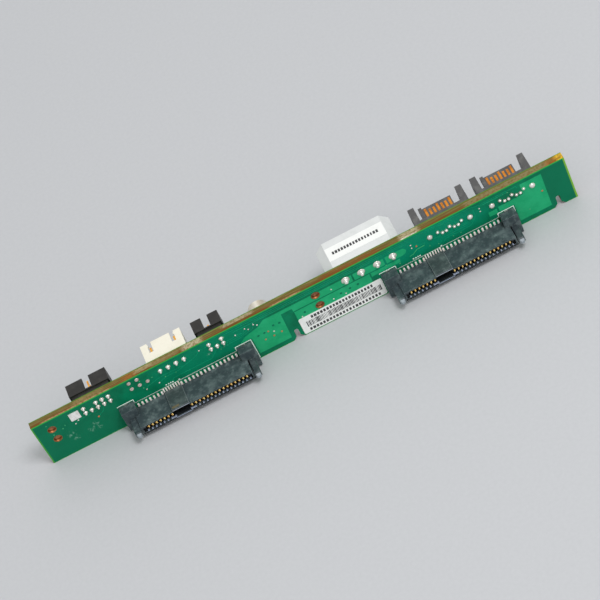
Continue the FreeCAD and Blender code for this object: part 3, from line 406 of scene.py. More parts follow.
# name, then what the maker asks for
masks = {
    "pour": ("maskOverCopper", (42, 182, 124), (24, 164, 108)),
    "trace": ("maskOverTrack", (14, 168, 122), (8, 152, 108), 0.4),
    "paleTrace": ("maskOverWideTrack", (70, 190, 124), (48, 172, 110), 0.4),
    "fleck": ("maskOverSmallVia", (92, 186, 132), (50, 160, 108), 0.4),
    "tented": ("maskOverVia", (6, 104, 76), (10, 124, 90), 0.2),
}
papers = {
    "silk": ("legendInk", (238, 252, 244), (206, 240, 224)),
    "label": ("labelFilm", (250, 252, 249), (238, 241, 238)),
    "print": ("labelPrint", (52, 52, 54), (92, 92, 94)),
}
metals = {
    "solder": ("brightSolder", (244, 242, 236), (212, 204, 196), 0.24, 0.5),
    # a white copy of the solder without metal: its brightness is a painted sheen on the contact feet
    "footSolder": ("footSolder", (255, 253, 250), (246, 228, 214), 0.28, 0.0, upright, 1500),
    "dullSolder": ("dullSolder", (232, 214, 208), (186, 166, 160), 0.38, 0.4),
    "tin": ("tinWash", (255, 254, 252), (220, 214, 210), 0.3, 0.25, upright, 1100),
    "copper": ("barePlating", (178, 116, 70), (126, 74, 42), 0.4, 0.7),
    "testPoint": ("barePad", (226, 124, 78), (176, 96, 58), 0.4, 0.3),
    "gold": ("goldFlash", (252, 194, 92), (218, 142, 54), 0.26, 0.8),
    "leafGold": ("goldLeafTinnedTail", (252, 194, 92), (218, 142, 54), 0.26, 0.6, even, 700,
                 (226, 218, 212)),
    # a paler, less metallic copy of the gold: its brightness is a painted highlight on the contact ends
    "tipGold": ("goldTip", (255, 226, 140), (244, 178, 80), 0.18, 0.25),
    "orangeGold": ("goldOverNickel", (226, 146, 50), (170, 100, 32), 0.34, 0.75),
    "tinPlate": ("tinPlate", (208, 206, 200), (168, 164, 158), 0.3, 1.0, across),
    "can": ("drawnCan", (236, 230, 216), (200, 190, 170), 0.32, 0.6, across),
}
plastics = {
    # the last value of this row is the strength of the painted shade in corners, slots and gaps
    "receptacle": ("slateNylon", (58, 71, 75), (116, 132, 132), (158, 170, 176), 5200, 0.46, 0.85, 2.6, 0.42,
                   receptacleZones, 0.82),
    # pale crowns, rails and lip at the mouth: their pale colour is a painted highlight
    "crown": ("rubbedCrown", (150, 162, 184), (122, 134, 156), (206, 216, 232), 5200, 0.4, 0.5, 3),
    "portBlock": ("slateBlock", (58, 70, 71), (108, 122, 120), (164, 176, 180), 5200, 0.48, 0.9, 5, 0.42,
                  blockZones),
    "dataHousing": ("greyNylon", (84, 84, 84), (124, 124, 121), (150, 150, 148), 5200, 0.52, 0.6, 1.6, 0.4),
    "boxHousing": ("blackNylon", (36, 35, 33), (62, 60, 56), (90, 88, 82), 5200, 0.5, 0.6, 1.6, 0.4),
    "powerHousing": ("whiteNylon", (226, 229, 228), (212, 216, 214), (250, 251, 250), 3600, 0.42, 0.6, 1.2),
    "creamHousing": ("creamNylon", (247, 243, 226), (232, 226, 204), (252, 250, 240), 3600, 0.42, 0.5, 1.2),
    "epoxy": ("mouldedEpoxy", (34, 34, 36), (56, 56, 58), (80, 80, 82), 6200, 0.44, 0.4, 1.4),
    "tanCeramic": ("tanCeramic", (160, 124, 92), (138, 102, 72), (186, 156, 126), 6200, 0.5, 0.6, 1.2),
    "darkFilm": ("darkFilm", (30, 32, 36), (52, 54, 58), (196, 194, 188), 6200, 0.34, 0.4, 1.6),
}
looks = {"board": makeBoardMaterial(boardLook)}
for maker, rows in ((makeMask, masks), (makePaper, papers), (makeMetal, metals), (makePlastic, plastics)):
    looks.update({finish: maker(*row) for finish, row in rows.items()})
print("materials made:", len(looks))


# turns a key's words round: each word points at its key
def byWord(groups):
    return {word: key for key, words in groups.items() for word in words.split()}


# nodes by the ends of their names
finishOf = byWord({
    "board": "circuit_board", "tin": "tinned_pad", "label": "front_label power_header_label",
    "receptacle": "receptacle_housing", "dataHousing": "data_header_housing",
    "boxHousing": "ten_pin_header_housing six_pin_header_housing", "powerHousing": "power_header_housing",
    "creamHousing": "four_pin_header_housing", "can": "capacitor_can",
    "epoxy": "capacitor_base logic_chip_case",
    "tinPlate": "capacitor_leads hold_downs board_locks power_header_pins logic_chip_leads",
    "orangeGold": "data_header_contacts", "leafGold": "signal_contacts power_contacts port_contacts",
    "gold": "four_pin_header_pins ten_pin_header_pins six_pin_header_pins", "solder": "joints",
    "tanCeramic": "chip_capacitors", "darkFilm": "chip_resistors",
})


def coat(piece, finish):
    piece.data.materials.clear()
    piece.data.materials.append(looks[finish])


for name, piece in frame["nodes"].items():
    ending = max((key for key in finishOf if name.endswith(key)), key=len)
    coat(piece, finishOf[ending])
print("node finishes set")


def finishPiece(piece, finish, *replaced):
    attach(piece, "root")
    if replaced:
        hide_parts(*replaced)


def addObject(name, data):
    piece = bpy.data.objects.new(name, data)
    scene.collection.objects.link(piece)
    return piece


# the evaluated shape of an object as a plain mesh; the source goes
def plainMesh(name, source):
    graph = bpy.context.evaluated_depsgraph_get()
    mesh = bpy.data.meshes.new_from_object(source.evaluated_get(graph))
    mesh.name = name
    bpy.data.objects.remove(source)
    return addObject(name, mesh)


def pointMesh(name, points, edges=()):
    mesh = bpy.data.meshes.new(name)
    mesh.from_pydata([[value * mm for value in point] for point in points], edges, [])
    return mesh


# middle and box of each separate solid of a node, left to right
def islands(node):
    work = bmesh.new()
    work.from_mesh(frame["nodes"][node].data)
    bmesh.ops.remove_doubles(work, verts=work.verts, dist=1e-6)
    seen, boxes = set(), []
    for first in work.verts:
        if first in seen:
            continue
        seen.add(first)
        stack, low, high = [first], first.co.copy(), first.co.copy()
        while stack:
            vert = stack.pop()
            low, high = Vector(map(min, low, vert.co)), Vector(map(max, high, vert.co))
            for edge in vert.link_edges:
                other = edge.other_vert(vert)
                if other not in seen:
                    seen.add(other)
                    stack.append(other)
        boxes.append((low, high))
    work.free()
    boxes.sort(key=lambda pair: pair[0].x + pair[1].x)
    boxes = [(low / mm, high / mm) for low, high in boxes]
    return [((low.x + high.x) / 2, low, high) for low, high in boxes]


def meshFrom(name, work, smooth=True):
    bmesh.ops.recalc_face_normals(work, faces=work.faces)
    for face in work.faces:
        face.smooth = smooth
    mesh = bpy.data.meshes.new(name)
    work.to_mesh(mesh)
    work.free()
    return bpy.data.objects.new(name, mesh)


# turns (radius, rise) points round the Y axis; rise goes away from the front face
def spunShape(name, profile, steps=20, closed=False):
    work = bmesh.new()
    verts = [work.verts.new((radius, -rise, 0.0)) for radius, rise in profile]
    edges = [work.edges.new(pair) for pair in zip(verts, verts[1:])]
    if closed:
        edges.append(work.edges.new((verts[-1], verts[0])))
    bmesh.ops.spin(work, geom=verts + edges, cent=(0, 0, 0), axis=(0, 1, 0), angle=2 * math.pi,
                   steps=steps, use_merge=True)
    bmesh.ops.remove_doubles(work, verts=work.verts, dist=1e-7)
    return meshFrom(name, work)


# a unit block with soft edges, standing on the front face
def pillowShape(name, soften):
    work = bmesh.new()
    bmesh.ops.create_cube(work, size=1.0)
    bmesh.ops.translate(work, verts=work.verts, vec=(0.0, -0.5, 0.0))
    bmesh.ops.bevel(work, geom=work.edges, offset=soften, segments=2, affect="EDGES", profile=0.5)
    return meshFrom(name, work)


def startTree(name, inputs):
    return startGroup("Geometry", name, inputs + [("Finish", "Material")], [("Geometry", "Geometry")])


# realize, set the material, and put out
def endTree(geometry, given):
    real = fromNode("GeometryNodeRealizeInstances", {0: geometry})
    coated = fromNode("GeometryNodeSetMaterial", {0: real, "Material": given["Finish"]})
    addNode("NodeGroupOutput", {0: coated})


# runs a tree on a mesh and keeps the result as a plain mesh
def runTree(name, mesh, tree, ids, finish, values, *replaced):
    holder = addObject(name + "Source", mesh)
    modifier = holder.modifiers.new("nodes", "NODES")
    modifier.node_group = tree
    for label, value in {**values, "Finish": looks[finish]}.items():
        modifier[ids[label]] = value
    finishPiece(plainMesh(name, holder), finish, *replaced)


# one shape at every point, sized and turned by the points' own attributes
def makeSpotTree():
    tree, given, ids = startTree("spotRow", [
        ("Points", "Geometry"), ("Shape", "Object"), ("Growth", "Float", 1.0)])
    shape = addNode("GeometryNodeObjectInfo", {"Object": given["Shape"]}).outputs["Geometry"]
    size, turn = [
        fromNode("GeometryNodeInputNamedAttribute", {"Name": label}, tree, data_type="FLOAT_VECTOR")
        for label in ("size", "turn")]
    grown = fromNode("ShaderNodeVectorMath", {0: size, "Scale": given["Growth"]}, operation="SCALE")
    rotation = fromNode("FunctionNodeEulerToRotation", {0: turn})
    placed = fromNode("GeometryNodeInstanceOnPoints", {
        "Points": given["Points"], "Instance": shape, "Rotation": rotation, "Scale": grown})
    endTree(placed, given)
    return tree, ids


# a flat strip along paths, with rounded corners
def makeStripTree():
    tree, given, ids = startTree("flatStrip", [
        ("Paths", "Geometry"), ("Width", "Float", 0.2 * mm), ("Thickness", "Float", 0.03 * mm),
        ("Corner", "Float", 0.1 * mm)])
    curve = fromNode("GeometryNodeMeshToCurve", {0: given["Paths"]})
    rounded = fromNode("GeometryNodeFilletCurve", {
        "Curve": curve, "Radius": given["Corner"], "Count": 3, "Limit Radius": True}, mode="POLY")
    level = fromNode("GeometryNodeSetCurveNormal", {
        "Curve": rounded, "Normal": (0.0, 1.0, 0.0)}, mode="FREE")
    section = fromNode("GeometryNodeCurvePrimitiveQuadrilateral", {
        "Width": given["Thickness"], "Height": given["Width"]})
    strip = fromNode("GeometryNodeCurveToMesh", {
        "Curve": level, "Profile Curve": section, "Fill Caps": True})
    endTree(strip, given)
    return tree, ids


# a row of upright bars of uneven width
def makeBarTree():
    tree, given, ids = startTree("barRow", [
        ("Starts", "Geometry"), ("Count", "Int", 10), ("Pitch", "Float", 1 * mm),
        ("Height", "Float", 1 * mm), ("Thinnest", "Float", 0.2 * mm), ("Widest", "Float", 0.6 * mm),
        ("Thickness", "Float", 0.02 * mm), ("Seed", "Int", 1)])
    offset = fromNode("ShaderNodeCombineXYZ", {"X": given["Pitch"]})
    line = fromNode("GeometryNodeMeshLine", {"Count": given["Count"], "Offset": offset})
    rows = fromNode("GeometryNodeInstanceOnPoints", {"Points": given["Starts"], "Instance": line})
    points = fromNode("GeometryNodeRealizeInstances", {0: rows})
    bar = fromNode("GeometryNodeMeshCube", {"Size": (1.0, 1.0, 1.0)}, tree)
    widths = {2: given["Thinnest"], 3: given["Widest"], "Seed": given["Seed"]}
    width = addNode("FunctionNodeRandomValue", widths, data_type="FLOAT").outputs[1]
    size = fromNode("ShaderNodeCombineXYZ", {
        "X": width, "Y": given["Thickness"], "Z": given["Height"]})
    bars = fromNode("GeometryNodeInstanceOnPoints", {"Points": points, "Instance": bar, "Scale": size})
    endTree(bars, given)
    return tree, ids


spotTree, stripTree, barTree = makeSpotTree(), makeStripTree(), makeBarTree()
shapes = {}


# places: (point, size, turn about Y) of one of the shapes; onBack turns it over
def spots(name, shape, places, finish, *replaced, growth=1.0, onBack=False):
    mesh = pointMesh(name, [point for point, size, turn in places])
    sizes, turns = [mesh.attributes.new(label, "FLOAT_VECTOR", "POINT") for label in ("size", "turn")]
    for index, (point, size, turn) in enumerate(places):
        sizes.data[index].vector = Vector(size) * mm
        turns.data[index].vector = (math.pi if onBack else 0.0, turn, 0.0)
    runTree(name, mesh, *spotTree, finish, {"Shape": shapes[shape], "Growth": growth}, *replaced)


# half way up something that lies on a face of the board
def halfUp(face, thickness):
    return face + math.copysign(thickness / 2, face)


# paths: lists of (x, z), lying on one face of the board
def strips(name, paths, face, width, thickness, corner, finish):
    verts, edges = [], []
    for path in paths:
        first = len(verts)
        verts += [(x, halfUp(face, thickness), z) for x, z in path]
        edges += [(index, index + 1) for index in range(first, len(verts) - 1)]
    values = {"Width": width * mm, "Thickness": thickness * mm, "Corner": corner * mm}
    runTree(name, pointMesh(name, verts, edges), *stripTree, finish, values)


# outlines of flat plates, and of the holes in them
def plates(name, outlines, face, thickness, finish):
    curve = bpy.data.curves.new(name, "CURVE")
    curve.dimensions, curve.fill_mode, curve.extrude = "2D", "BOTH", 0.5 * thickness * mm
    for outline in outlines:
        spline = curve.splines.new("POLY")
        spline.points.add(len(outline) - 1)
        for point, (x, z) in zip(spline.points, outline):
            point.co = (x * mm, z * mm, 0.0, 1.0)
        spline.use_cyclic_u = True
    piece = plainMesh(name, addObject(name + "Source", curve))
    lift = Matrix.Translation((0.0, halfUp(face, thickness) * mm, 0.0))
    piece.data.transform(lift @ Matrix.Rotation(math.radians(90), 4, "X"))
    coat(piece, finish)
    finishPiece(piece, finish)


holes = next(mount for mount in frame["record"]["mounts"] if mount["name"] == "mounting_holes")
holeCentre, holeDims = Vector(holes["pos_m"]) / mm, holes["dims"]
apart, above = holeDims["spacing_x_mm"] / 2, holeDims["spacing_y_mm"] / 2
holePlaces = [(holeCentre.x + x, holeCentre.z + z) for x in (-apart, apart) for z in (-above, above)]
barrelLook = {"wall": 0.035, "flange": 0.09, "rise": 0.03, "skin": 0.001}


# plated lining of the mounting holes, with a flange on both faces
def makeBarrels(look):
    radius, skin = holeDims["hole_r_mm"], look["skin"]
    inner, outer, face = radius - look["wall"], radius + look["flange"], backFace + look["rise"]
    half = [(radius - skin, backFace + skin), (outer, backFace + skin), (outer, face), (inner, face)]
    profile = [(reach, -rise) for reach, rise in reversed(half)] + half
    shapes["barrel"] = spunShape("barrel", profile, 40, closed=True)
    spots("mounting_barrels", "barrel", [((x, 0.0, z), (1, 1, 1), 0.0) for x, z in holePlaces], "copper")


makeBarrels(barrelLook)
print("mounting holes lined")

random.seed(7)
# half outlines of a solder joint: radius against rise
solderLook = {
    "joint": [(0.5, 0), (0.5, 0.05), (0.47, 0.12), (0.42, 0.2), (0.35, 0.33), (0.29, 0.5), (0.25, 0.68),
              (0.22, 0.84), (0.17, 0.94), (0.1, 0.99), (0, 1)],
    "dome": [(0.5, 0), (0.49, 0.25), (0.45, 0.5), (0.36, 0.76), (0.22, 0.94), (0.1, 0.99), (0, 1)],
    "dimple": [(0.5, 0), (0.49, 0.4), (0.44, 0.8), (0.36, 1), (0.26, 0.9), (0.14, 0.6), (0, 0.5)],
}
shapes.update({name: spunShape(name, [(0.0, 0.0)] + profile) for name, profile in solderLook.items()})
shapes["pillow"] = pillowShape("pillow", 0.2)
# node, shape, finish, growth, width against height
jointKinds = [
    ("box_header_joints", "joint", "solder", 1.06, 1.0), ("four_pin_joints", "joint", "solder", 1.04, 1.0),
    ("power_joints", "joint", "solder", 1.0, 1.0), ("data_contact_joints", "dome", "solder", 1.04, 1.1),
    ("data_lock_joints", "dome", "solder", 1.0, 1.0),
    ("spare_hole_joints", "dimple", "dullSolder", 1.0, 1.0),
]


def makeJoints(kinds):
    for node, kind, finish, growth, widen in kinds:
        places = []
        for x, low, high in islands(node):
            size = ((high.x - low.x) * random.uniform(0.95, 1.06) * widen,
                    (frontFace - low.y) * random.uniform(0.92, 1.0),
                    (high.z - low.z) * random.uniform(0.97, 1.05) / widen)
            turn = 0.0 if widen > 1.0 else random.uniform(0, 6.28)
            places.append(((x, frontFace, (low.z + high.z) / 2), size, turn))
        spots(node + "_smooth", kind, places, finish, node, growth=growth)


makeJoints(jointKinds)

# width, and reach past the contact, of the solder on each kind of foot
footLook = {"signal": (0.6, -0.12), "power": (0.6, -0.12), "port": (0.42, 0), "from": 5.27, "rise": 0.34}


# solder over the foot of each surface contact
def makeFeet(look):
    places = []
    for side in ("left", "right"):
        for kind in ("signal", "power", "port"):
            width, past = look[kind]
            for x, low, high in islands(f"{side}_receptacle_{kind}_contacts"):
                top = high.z + past + random.uniform(-0.06, 0.06)
                length = top - look["from"]
                size = (width * random.uniform(0.96, 1.04), look["rise"] * random.uniform(0.9, 1.1), length)
                places.append(((x, frontFace, top - length / 2), size, 0.0))
    spots("contact_foot_solder", "pillow", places, "footSolder")


makeFeet(footLook)
print("solder laid")

mouthLook = {
    "tip": (0.4, 0.24, 0.82), "tipLevel": 4.2, "front": -9.1, "lean": {"left": 0.2, "right": 0},
    "crown": (0.5, 0.75, 0.3), "crownProud": 0.03, "crownLevel": 2.62, "pitch": 1.27,
    "lip": (5.4, 0.06, 0.24), "lipLevel": 2.2, "rail": (1.3, 0.5, 0.2), "railProud": 0.02,
}


# rounded contact ends at the mouth, in a paler gold as a painted highlight; crowns of the comb, and a lip,
# on the wall below, pale as a painted highlight
def makeMouths(look):
    tip, crown, rail = look["tip"], look["crown"], look["rail"]
    front, half, level = look["front"], look["pitch"] / 2, look["crownLevel"]
    for side, lean in look["lean"].items():
        middles = [x + lean for kind in ("signal", "power")
                   for x, low, high in islands(f"{side}_receptacle_{kind}_contacts")]
        tips = [((x, front + tip[1], look["tipLevel"]), tip, 0.0) for x in middles]
        gaps = {round(x + shift, 2) for x in middles for shift in (-half, half)}
        places = [((x, front - look["crownProud"] + crown[1], level), crown, 0.0) for x in sorted(gaps)]
        low, high = boxOf(f"{side}_receptacle_port_contacts")
        middle = (low.x + high.x) / 2 + lean
        places.append(((middle, front, look["lipLevel"]), look["lip"], 0.0))
        for x in (max(x for x in middles if x < middle), min(x for x in middles if x > middle)):
            places.append(((x, front - look["railProud"] + rail[1], level), rail, 0.0))
        spots(f"{side}_contact_tips", "pillow", tips, "tipGold")
        spots(f"{side}_comb_crowns", "pillow", places, "crown")


makeMouths(mouthLook)

blockLook = {
    "past": (0.02, 0.34), "rise": 0.7, "foot": 0.02, "sunk": 0.1, "back": -1.32, "front": -9.08,
    "soften": 0.1, "web": (0.52, 4.9, 0.8), "webTop": 4.6, "webSoften": 0.05, "shroudStart": 3.54,
    "armRoot": -4.15,
}


# a block with soft edges between two corners
def softBlock(name, lower, upper, soften, finish):
    work = bmesh.new()
    bmesh.ops.create_cube(work, size=1.0)
    for vert in work.verts:
        vert.co = [(a + (b - a) * (c + 0.5)) * mm for a, b, c in zip(lower, upper, vert.co)]
    bmesh.ops.bevel(work, geom=work.edges, offset=soften * mm, segments=3, affect="EDGES", profile=0.5)
    block = meshFrom(name, work, smooth=False)
    scene.collection.objects.link(block)
    coat(block, finish)
    finishPiece(block, finish)


# raised block of the housing over the fine contacts, and a web that joins the left arm to it
def makeBlocks(look):
    for side in ("left", "right"):
        low, high = boxOf(f"{side}_receptacle_port_contacts")
        top, (pastLeft, pastRight) = footLook["from"] - look["foot"], look["past"]
        softBlock(f"{side}_port_block", (low.x - pastLeft, look["front"], top - look["sunk"]),
                  (high.x + pastRight, look["back"], top + look["rise"]), look["soften"], "portBlock")
        low, high = boxOf(f"{side}_receptacle_housing")
        upper = Vector((low.x + look["shroudStart"], look["armRoot"], look["webTop"]))
        softBlock(f"{side}_arm_web", upper - Vector(look["web"]), upper, look["webSoften"], "receptacle")


makeBlocks(blockLook)
print("receptacles dressed")


def rectangle(left, bottom, right, top):
    return [(left, bottom), (right, bottom), (right, top), (left, top)]


# outlines of the copper under the mask
pourLook = {
    "thickness": 0.022, "antipad": 1.5, "top": 13.95, "steps": 20,
    "upper": [
        (-17.45, 1.9), (-7.1, 1.9), (-7, 4.8), (-6.85, 12.6), (-3.3, 12.6), (-3.25, 11.25),
        (16.15, 11.25), (16.15, 13.95), (-12.2, 13.95), (-14.4, 12.25), (-17, 11.55), (-19.2, 10.85),
        (-20.9, 9.5), (-20.9, 9.2), (-17.45, 9.2)],
    "lower": rectangle(-3.15, 1.2, 21.1, 10.85),
    "front": [
        rectangle(16.65, 11.3, 26.45, 13.95),
        [(27.05, 11.4), (32.1, 11.4), (33, 11.7), (33.5, 12.3), (33.6, 12.9), (33.4, 13.5), (32.9, 13.9),
         (32.1, 14.1), (27.05, 14.1)],
        [(23.9, 9.35), (30.8, 9.35), (30.95, 10.85), (21.5, 10.85), (21.5, 9.35)],
        [(67.45, 1.85), (77.6, 1.85), (77.75, 15.6), (70.9, 15.6), (70.95, 11.5), (62.85, 11.4),
         (62.85, 9.2), (67.45, 9.2)],
        rectangle(59.6, 9.2, 62.3, 11)],
    "back": [
        rectangle(-84.8, 0.9, -61.4, 6.6),
        [(-14.4, 1), (-7.7, 1), (-7.7, 5.4), (-2.4, 5.4), (-2.4, 1), (8.9, 1), (8.9, 6.5),
         (-14.4, 6.5)],
        rectangle(9.7, 1, 35.2, 8.3), rectangle(36.2, 1, 43.8, 9.4), rectangle(52.2, 1, 63.4, 9.4),
        rectangle(72.2, 1, 77.2, 9.4)],
}


def makePours(look):
    (x, lower), (x, upper) = sorted(place for place in holePlaces if place[0] > 0)
    room, steps, outline = look["antipad"], look["steps"], look["upper"]
    ring = [(x + room * math.cos(angle), lower + room * math.sin(angle))
            for angle in (2 * math.pi * step / steps for step in range(steps))]
    # the upper hole bites into the top edge of its pour
    start = math.asin((look["top"] - upper) / room)
    bite = [(x + room * math.cos(angle), upper + room * math.sin(angle))
            for angle in (start - (math.pi + 2 * start) * step / steps for step in range(steps + 1))]
    corner = 1 + outline.index(max(outline, key=sum))
    front = [outline[:corner] + bite + outline[corner:], look["lower"], ring, *look["front"]]
    plates("copper_pours", front, frontFace, look["thickness"], "pour")
    plates("back_pours", look["back"], backFace, look["thickness"], "pour")


makePours(pourLook)

trackLook = {
    "thickness": 0.02, "width": 0.17, "wideWidth": 0.3, "backWidth": 0.19, "corner": 0.3, "backCorner": 0.2,
    "front": [
        [(-27, 16.6), (-15.5, 16.6), (-14.6, 16.3), (33, 16.3)],
        [(-24.6, 15.9), (-15, 15.9), (-14.3, 15.6), (33.4, 15.6)],
        [(-21.4, 15), (-14, 15), (33.6, 15)],
        [(-32.46, 14.62), (-29.5, 14.62), (-27.2, 12.9), (-19, 12.9), (-17.95, 14.1)],
        [(-21.2, 13.47), (-19.2, 13)], [(-27.5, 12.2), (-19.6, 12.2), (-17.09, 13.26)],
        [(-28.2, 11.5), (-20.3, 11.5), (-15.9, 12.7), (-15.18, 14.06)],
        [(40.4, 15.7), (48.2, 15.7), (49.7, 14.3), (49.7, 12.4)],
        [(40.5, 15.1), (41.2, 14.5), (41.2, 12.7), (42.2, 11.7), (54.1, 11.7)],
        [(36.9, 16.3), (55, 16.3), (56.9, 15.7), (69.7, 15.7), (70, 14.9)],
        [(55.8, 15.2), (55.8, 12.4), (54.9, 11.2), (43.6, 11.2)], [(57.7, 15.1), (61, 15.1), (66.8, 15.1)],
        [(36.4, 13.2), (38, 11.9), (39.5, 11.9)], [(34.2, 16.3), (36, 14.4), (36, 13)],
        [(-46.93, 10.22), (-44.3, 11.2), (-40.6, 11.2), (-34, 13.2), (-32.46, 14.62)],
        [(-51.03, 10.15), (-50.2, 11.2), (-46, 12.2), (-38.4, 12.2)],
        [(-43.6, 8.3), (-42.6, 9.3), (-30.2, 9.3), (-28.2, 11.5)],
        [(-67.03, 9.17), (-64.9, 10.6), (-63.9, 12.8)],
        [(-73.77, 10.79), (-72.61, 11.67), (-66.4, 11.67), (-65.1, 12.8)],
        [(44.3, 8.3), (45.4, 9.6), (53.5, 9.6), (55.2, 11.2)], [(43, 8.3), (44.8, 10.4), (51.9, 10.4)]],
    "wide": [[(33.83, 9.61), (35.02, 9.78), (36.43, 10.9), (39.06, 11.11)]],
    # level and step, reach and step of the back tracks above the chips and above the logic chip
    "chipRuns": (9.7, -0.42, 5.4, 0.2), "leadRuns": (8.8, 0.42, 3, 0.9), "lowerRuns": (0.9, 0.34),
    "chamfer": 0.5, "parting": 4,
    # header pins, how far the tracks drop below them, and how far they lean
    "drops": [
        ("ten_pin_header_pins", 1.6, 0.8), ("six_pin_header_pins", 1, 0.5),
        ("four_pin_header_pins", 0.9, 0.6)],
    "dropLevels": (11.6, 10.8, 10.9),
    # data tracks: where each leaves the middle of its header and where it is drawn in; its levels
    "fan": [(-2.54, -1.7), (-1.27, -1.3), (1.27, 1.3), (2.54, 1.7)], "fanLevels": (11, 9.8, 9.2, 3.4),
    "stagger": 0.6,
}


# back tracks: chips to the vias above them, headers down to theirs
def backTracks(look):
    chips, leads = islands("chip_resistors") + islands("chip_capacitors"), islands("logic_chip_leads")
    lower = [lead for lead in leads if lead[1].z < look["parting"]]
    upper = [lead for lead in leads if lead[1].z >= look["parting"]]
    start, step, reach, more = look["chipRuns"]
    paths, chamfer = [], look["chamfer"]
    for index, (x, low, high) in enumerate(chips):
        level, end = start + step * index, x + reach + more * index
        paths.append([(x, high.z), (x, level - chamfer), (x + chamfer, level), (end, level)])
    start, step = look["lowerRuns"]
    for index, ((x, low, high), (aim, foot, top)) in enumerate(zip(lower, reversed(chips[:len(lower)]))):
        level = start + step * index
        paths.append([(x, low.z), (x, level), (aim, level), (aim, foot.z)])
    start, step, reach, more = look["leadRuns"]
    for index, (x, low, high) in enumerate(upper):
        level = start + step * index
        paths.append([(x, high.z), (x, level), (x - reach - more * index, level)])
    top, bend, foot = look["dropLevels"]
    for node, drop, lean in look["drops"]:
        for index, x in enumerate(sorted({round(x, 1) for x, low, high in islands(node)})):
            end = foot - lean - drop * (1 + index % 2) / 2
            paths.append([(x, top), (x, bend), (x + lean, bend - lean), (x + lean, end)])
    ends = [path[-1] for path in paths if path[-1][1] > look["parting"]]
    top, bend, near, foot = look["fanLevels"]
    for side in ("left", "right"):
        low, high = boxOf(f"{side}_data_header_housing")
        middle = (low.x + high.x) / 2
        for index, (shift, drawn) in enumerate(look["fan"]):
            x, aim = middle + shift, middle + drawn
            ends.append((aim, foot - look["stagger"] * (index % 2)))
            paths.append([(x, top), (x, bend), (aim, near), ends[-1]])
    return paths, ends


def makeTracks(look):
    paths, ends = backTracks(look)
    for name, drawn, face, width, corner, finish in (
            ("front_tracks", look["front"], frontFace, look["width"], look["corner"], "trace"),
            ("front_wide_tracks", look["wide"], frontFace, look["wideWidth"], look["corner"], "paleTrace"),
            ("back_tracks", paths, backFace, look["backWidth"], look["backCorner"], "trace")):
        strips(name, drawn, face, width, look["thickness"], corner, finish)
    return ends


backEnds = makeTracks(trackLook)
print("copper laid")

viaLook = {
    "tinned": [
        (-73.77, 10.79), (-72.61, 11.67), (-51.03, 10.15), (-46.93, 10.22), (-32.46, 14.62), (-21.2, 13.47),
        (-17.95, 14.1), (-17.09, 13.26), (-15.18, 14.06), (-14.29, 13.22), (-10.81, 7.61), (-1.61, 7.61),
        (9.34, 12.34), (8.81, 8.31), (12.71, 8.1), (35.33, 13.63), (35.32, 12.41), (57.66, 14.32),
        (57.65, 13.1)],
    "bare": [
        (-67.03, 9.17), (-12.31, 8.63), (-14.05, 6.09), (-11.33, 5.98), (-8.82, 6.05), (36.8, 12.23),
        (76.43, 9)],
    "tented": [
        (-10.23, 9.97), (-8.32, 9.79), (-15.43, 8.81), (-13.51, 8.81), (-0.4, 8.91), (11.38, 9.08),
        (14.39, 9.26), (16.91, 9.26), (22.1, 8.2)],
    "small": [
        (-81.45, 15.4), (-77.68, 11.39), (-76.69, 12.26), (-48.01, 13.65), (-44.54, 11.38), (-41.31, 11.03),
        (-26.66, 11.02), (-24.36, 15.04), (40.42, 9.78), (47.76, 9.08), (50.17, 8.9), (42.97, 8.9),
        (64.89, 10.93), (66.85, 15.01), (71.2, 4.48), (-51.67, 14.52), (-51.64, 11.21), (30.48, 8.9),
        (26.61, 10.83), (-80.9, 10.7)],
}
backBoxes = [box for name in frame["nodes"] if name.endswith(("_housing", "capacitor_base"))
             for box in [boxOf(name)] if box[0].y > 0]


# true where something stands on the back face
def isCovered(x, z, room=0.4):
    return any(low.x - room < x < high.x + room and low.z - room < z < high.z + room
               for low, high in backBoxes)


def makeVias(look):
    through = [point for point in look["tinned"] if not isCovered(*point)]
    covered = [point for point in look["tented"] + look["small"] + backEnds if not isCovered(*point)]
    for name, shape, points, face, size, rise, finish in (
            ("tinned_vias", "dome", look["tinned"], frontFace, 0.52, 0.16, "solder"),
            ("bare_test_points", "dome", look["bare"], frontFace, 0.6, 0.12, "testPoint"),
            ("covered_vias", "dimple", look["tented"], frontFace, 0.85, 0.04, "tented"),
            ("small_covered_vias", "dimple", look["small"], frontFace, 0.45, 0.04, "fleck"),
            ("back_tinned_vias", "dome", through, backFace, 0.5, 0.06, "solder"),
            ("back_covered_vias", "dimple", covered, backFace, 0.5, 0.04, "tented")):
        places = []
        for x, z in points:
            width, height = size * random.uniform(0.9, 1.1), size * random.uniform(0.9, 1.1)
            places.append(((x, face, z), (width, rise, height), 0.0))
        spots(name, shape, places, finish, onBack=face > 0)


makeVias(viaLook)
print("vias set")

chipLook = {
    "cap": 0.42, "skin": 0.03, "fillet": 0.34, "filletPast": 0.102, "filletShare": (0.96, 0.55),
    # node, level that parts its two rows, reach past the lead, size of the solder
    "leads": [
        ("logic_chip_leads", 4, 0.2, (0.62, 0.22, 0.806)), ("capacitor_leads", 9, 0.1, (1.2, 0.24, 1.0))],
}


# metal ends and solder of the chip parts, and solder at the leads
def makeChipEnds(look):
    caps, fillets = [], []
    cap, skin, fillet, (wider, taller) = look["cap"], look["skin"], look["fillet"], look["filletShare"]
    for x, low, high in islands("chip_capacitors") + islands("chip_resistors"):
        tall, wide = high.y - backFace, high.x - low.x + 2 * skin
        for z, out in ((low.z, -1), (high.z, 1)):
            caps.append(((x, backFace, z + out * (skin - cap / 2)), (wide, tall + skin, cap), 0.0))
            size = (wide * wider, tall * taller, fillet)
            fillets.append(((x, backFace, z + out * look["filletPast"]), size, 0.0))
    for node, parting, past, size in look["leads"]:
        for x, low, high in islands(node):
            z = low.z + past if low.z < parting else high.z - past
            fillets.append(((x, backFace, z), size, 0.0))
    spots("chip_end_caps", "pillow", caps, "tin", onBack=True)
    spots("chip_solder", "pillow", fillets, "solder", onBack=True)


makeChipEnds(chipLook)
print("chips soldered")

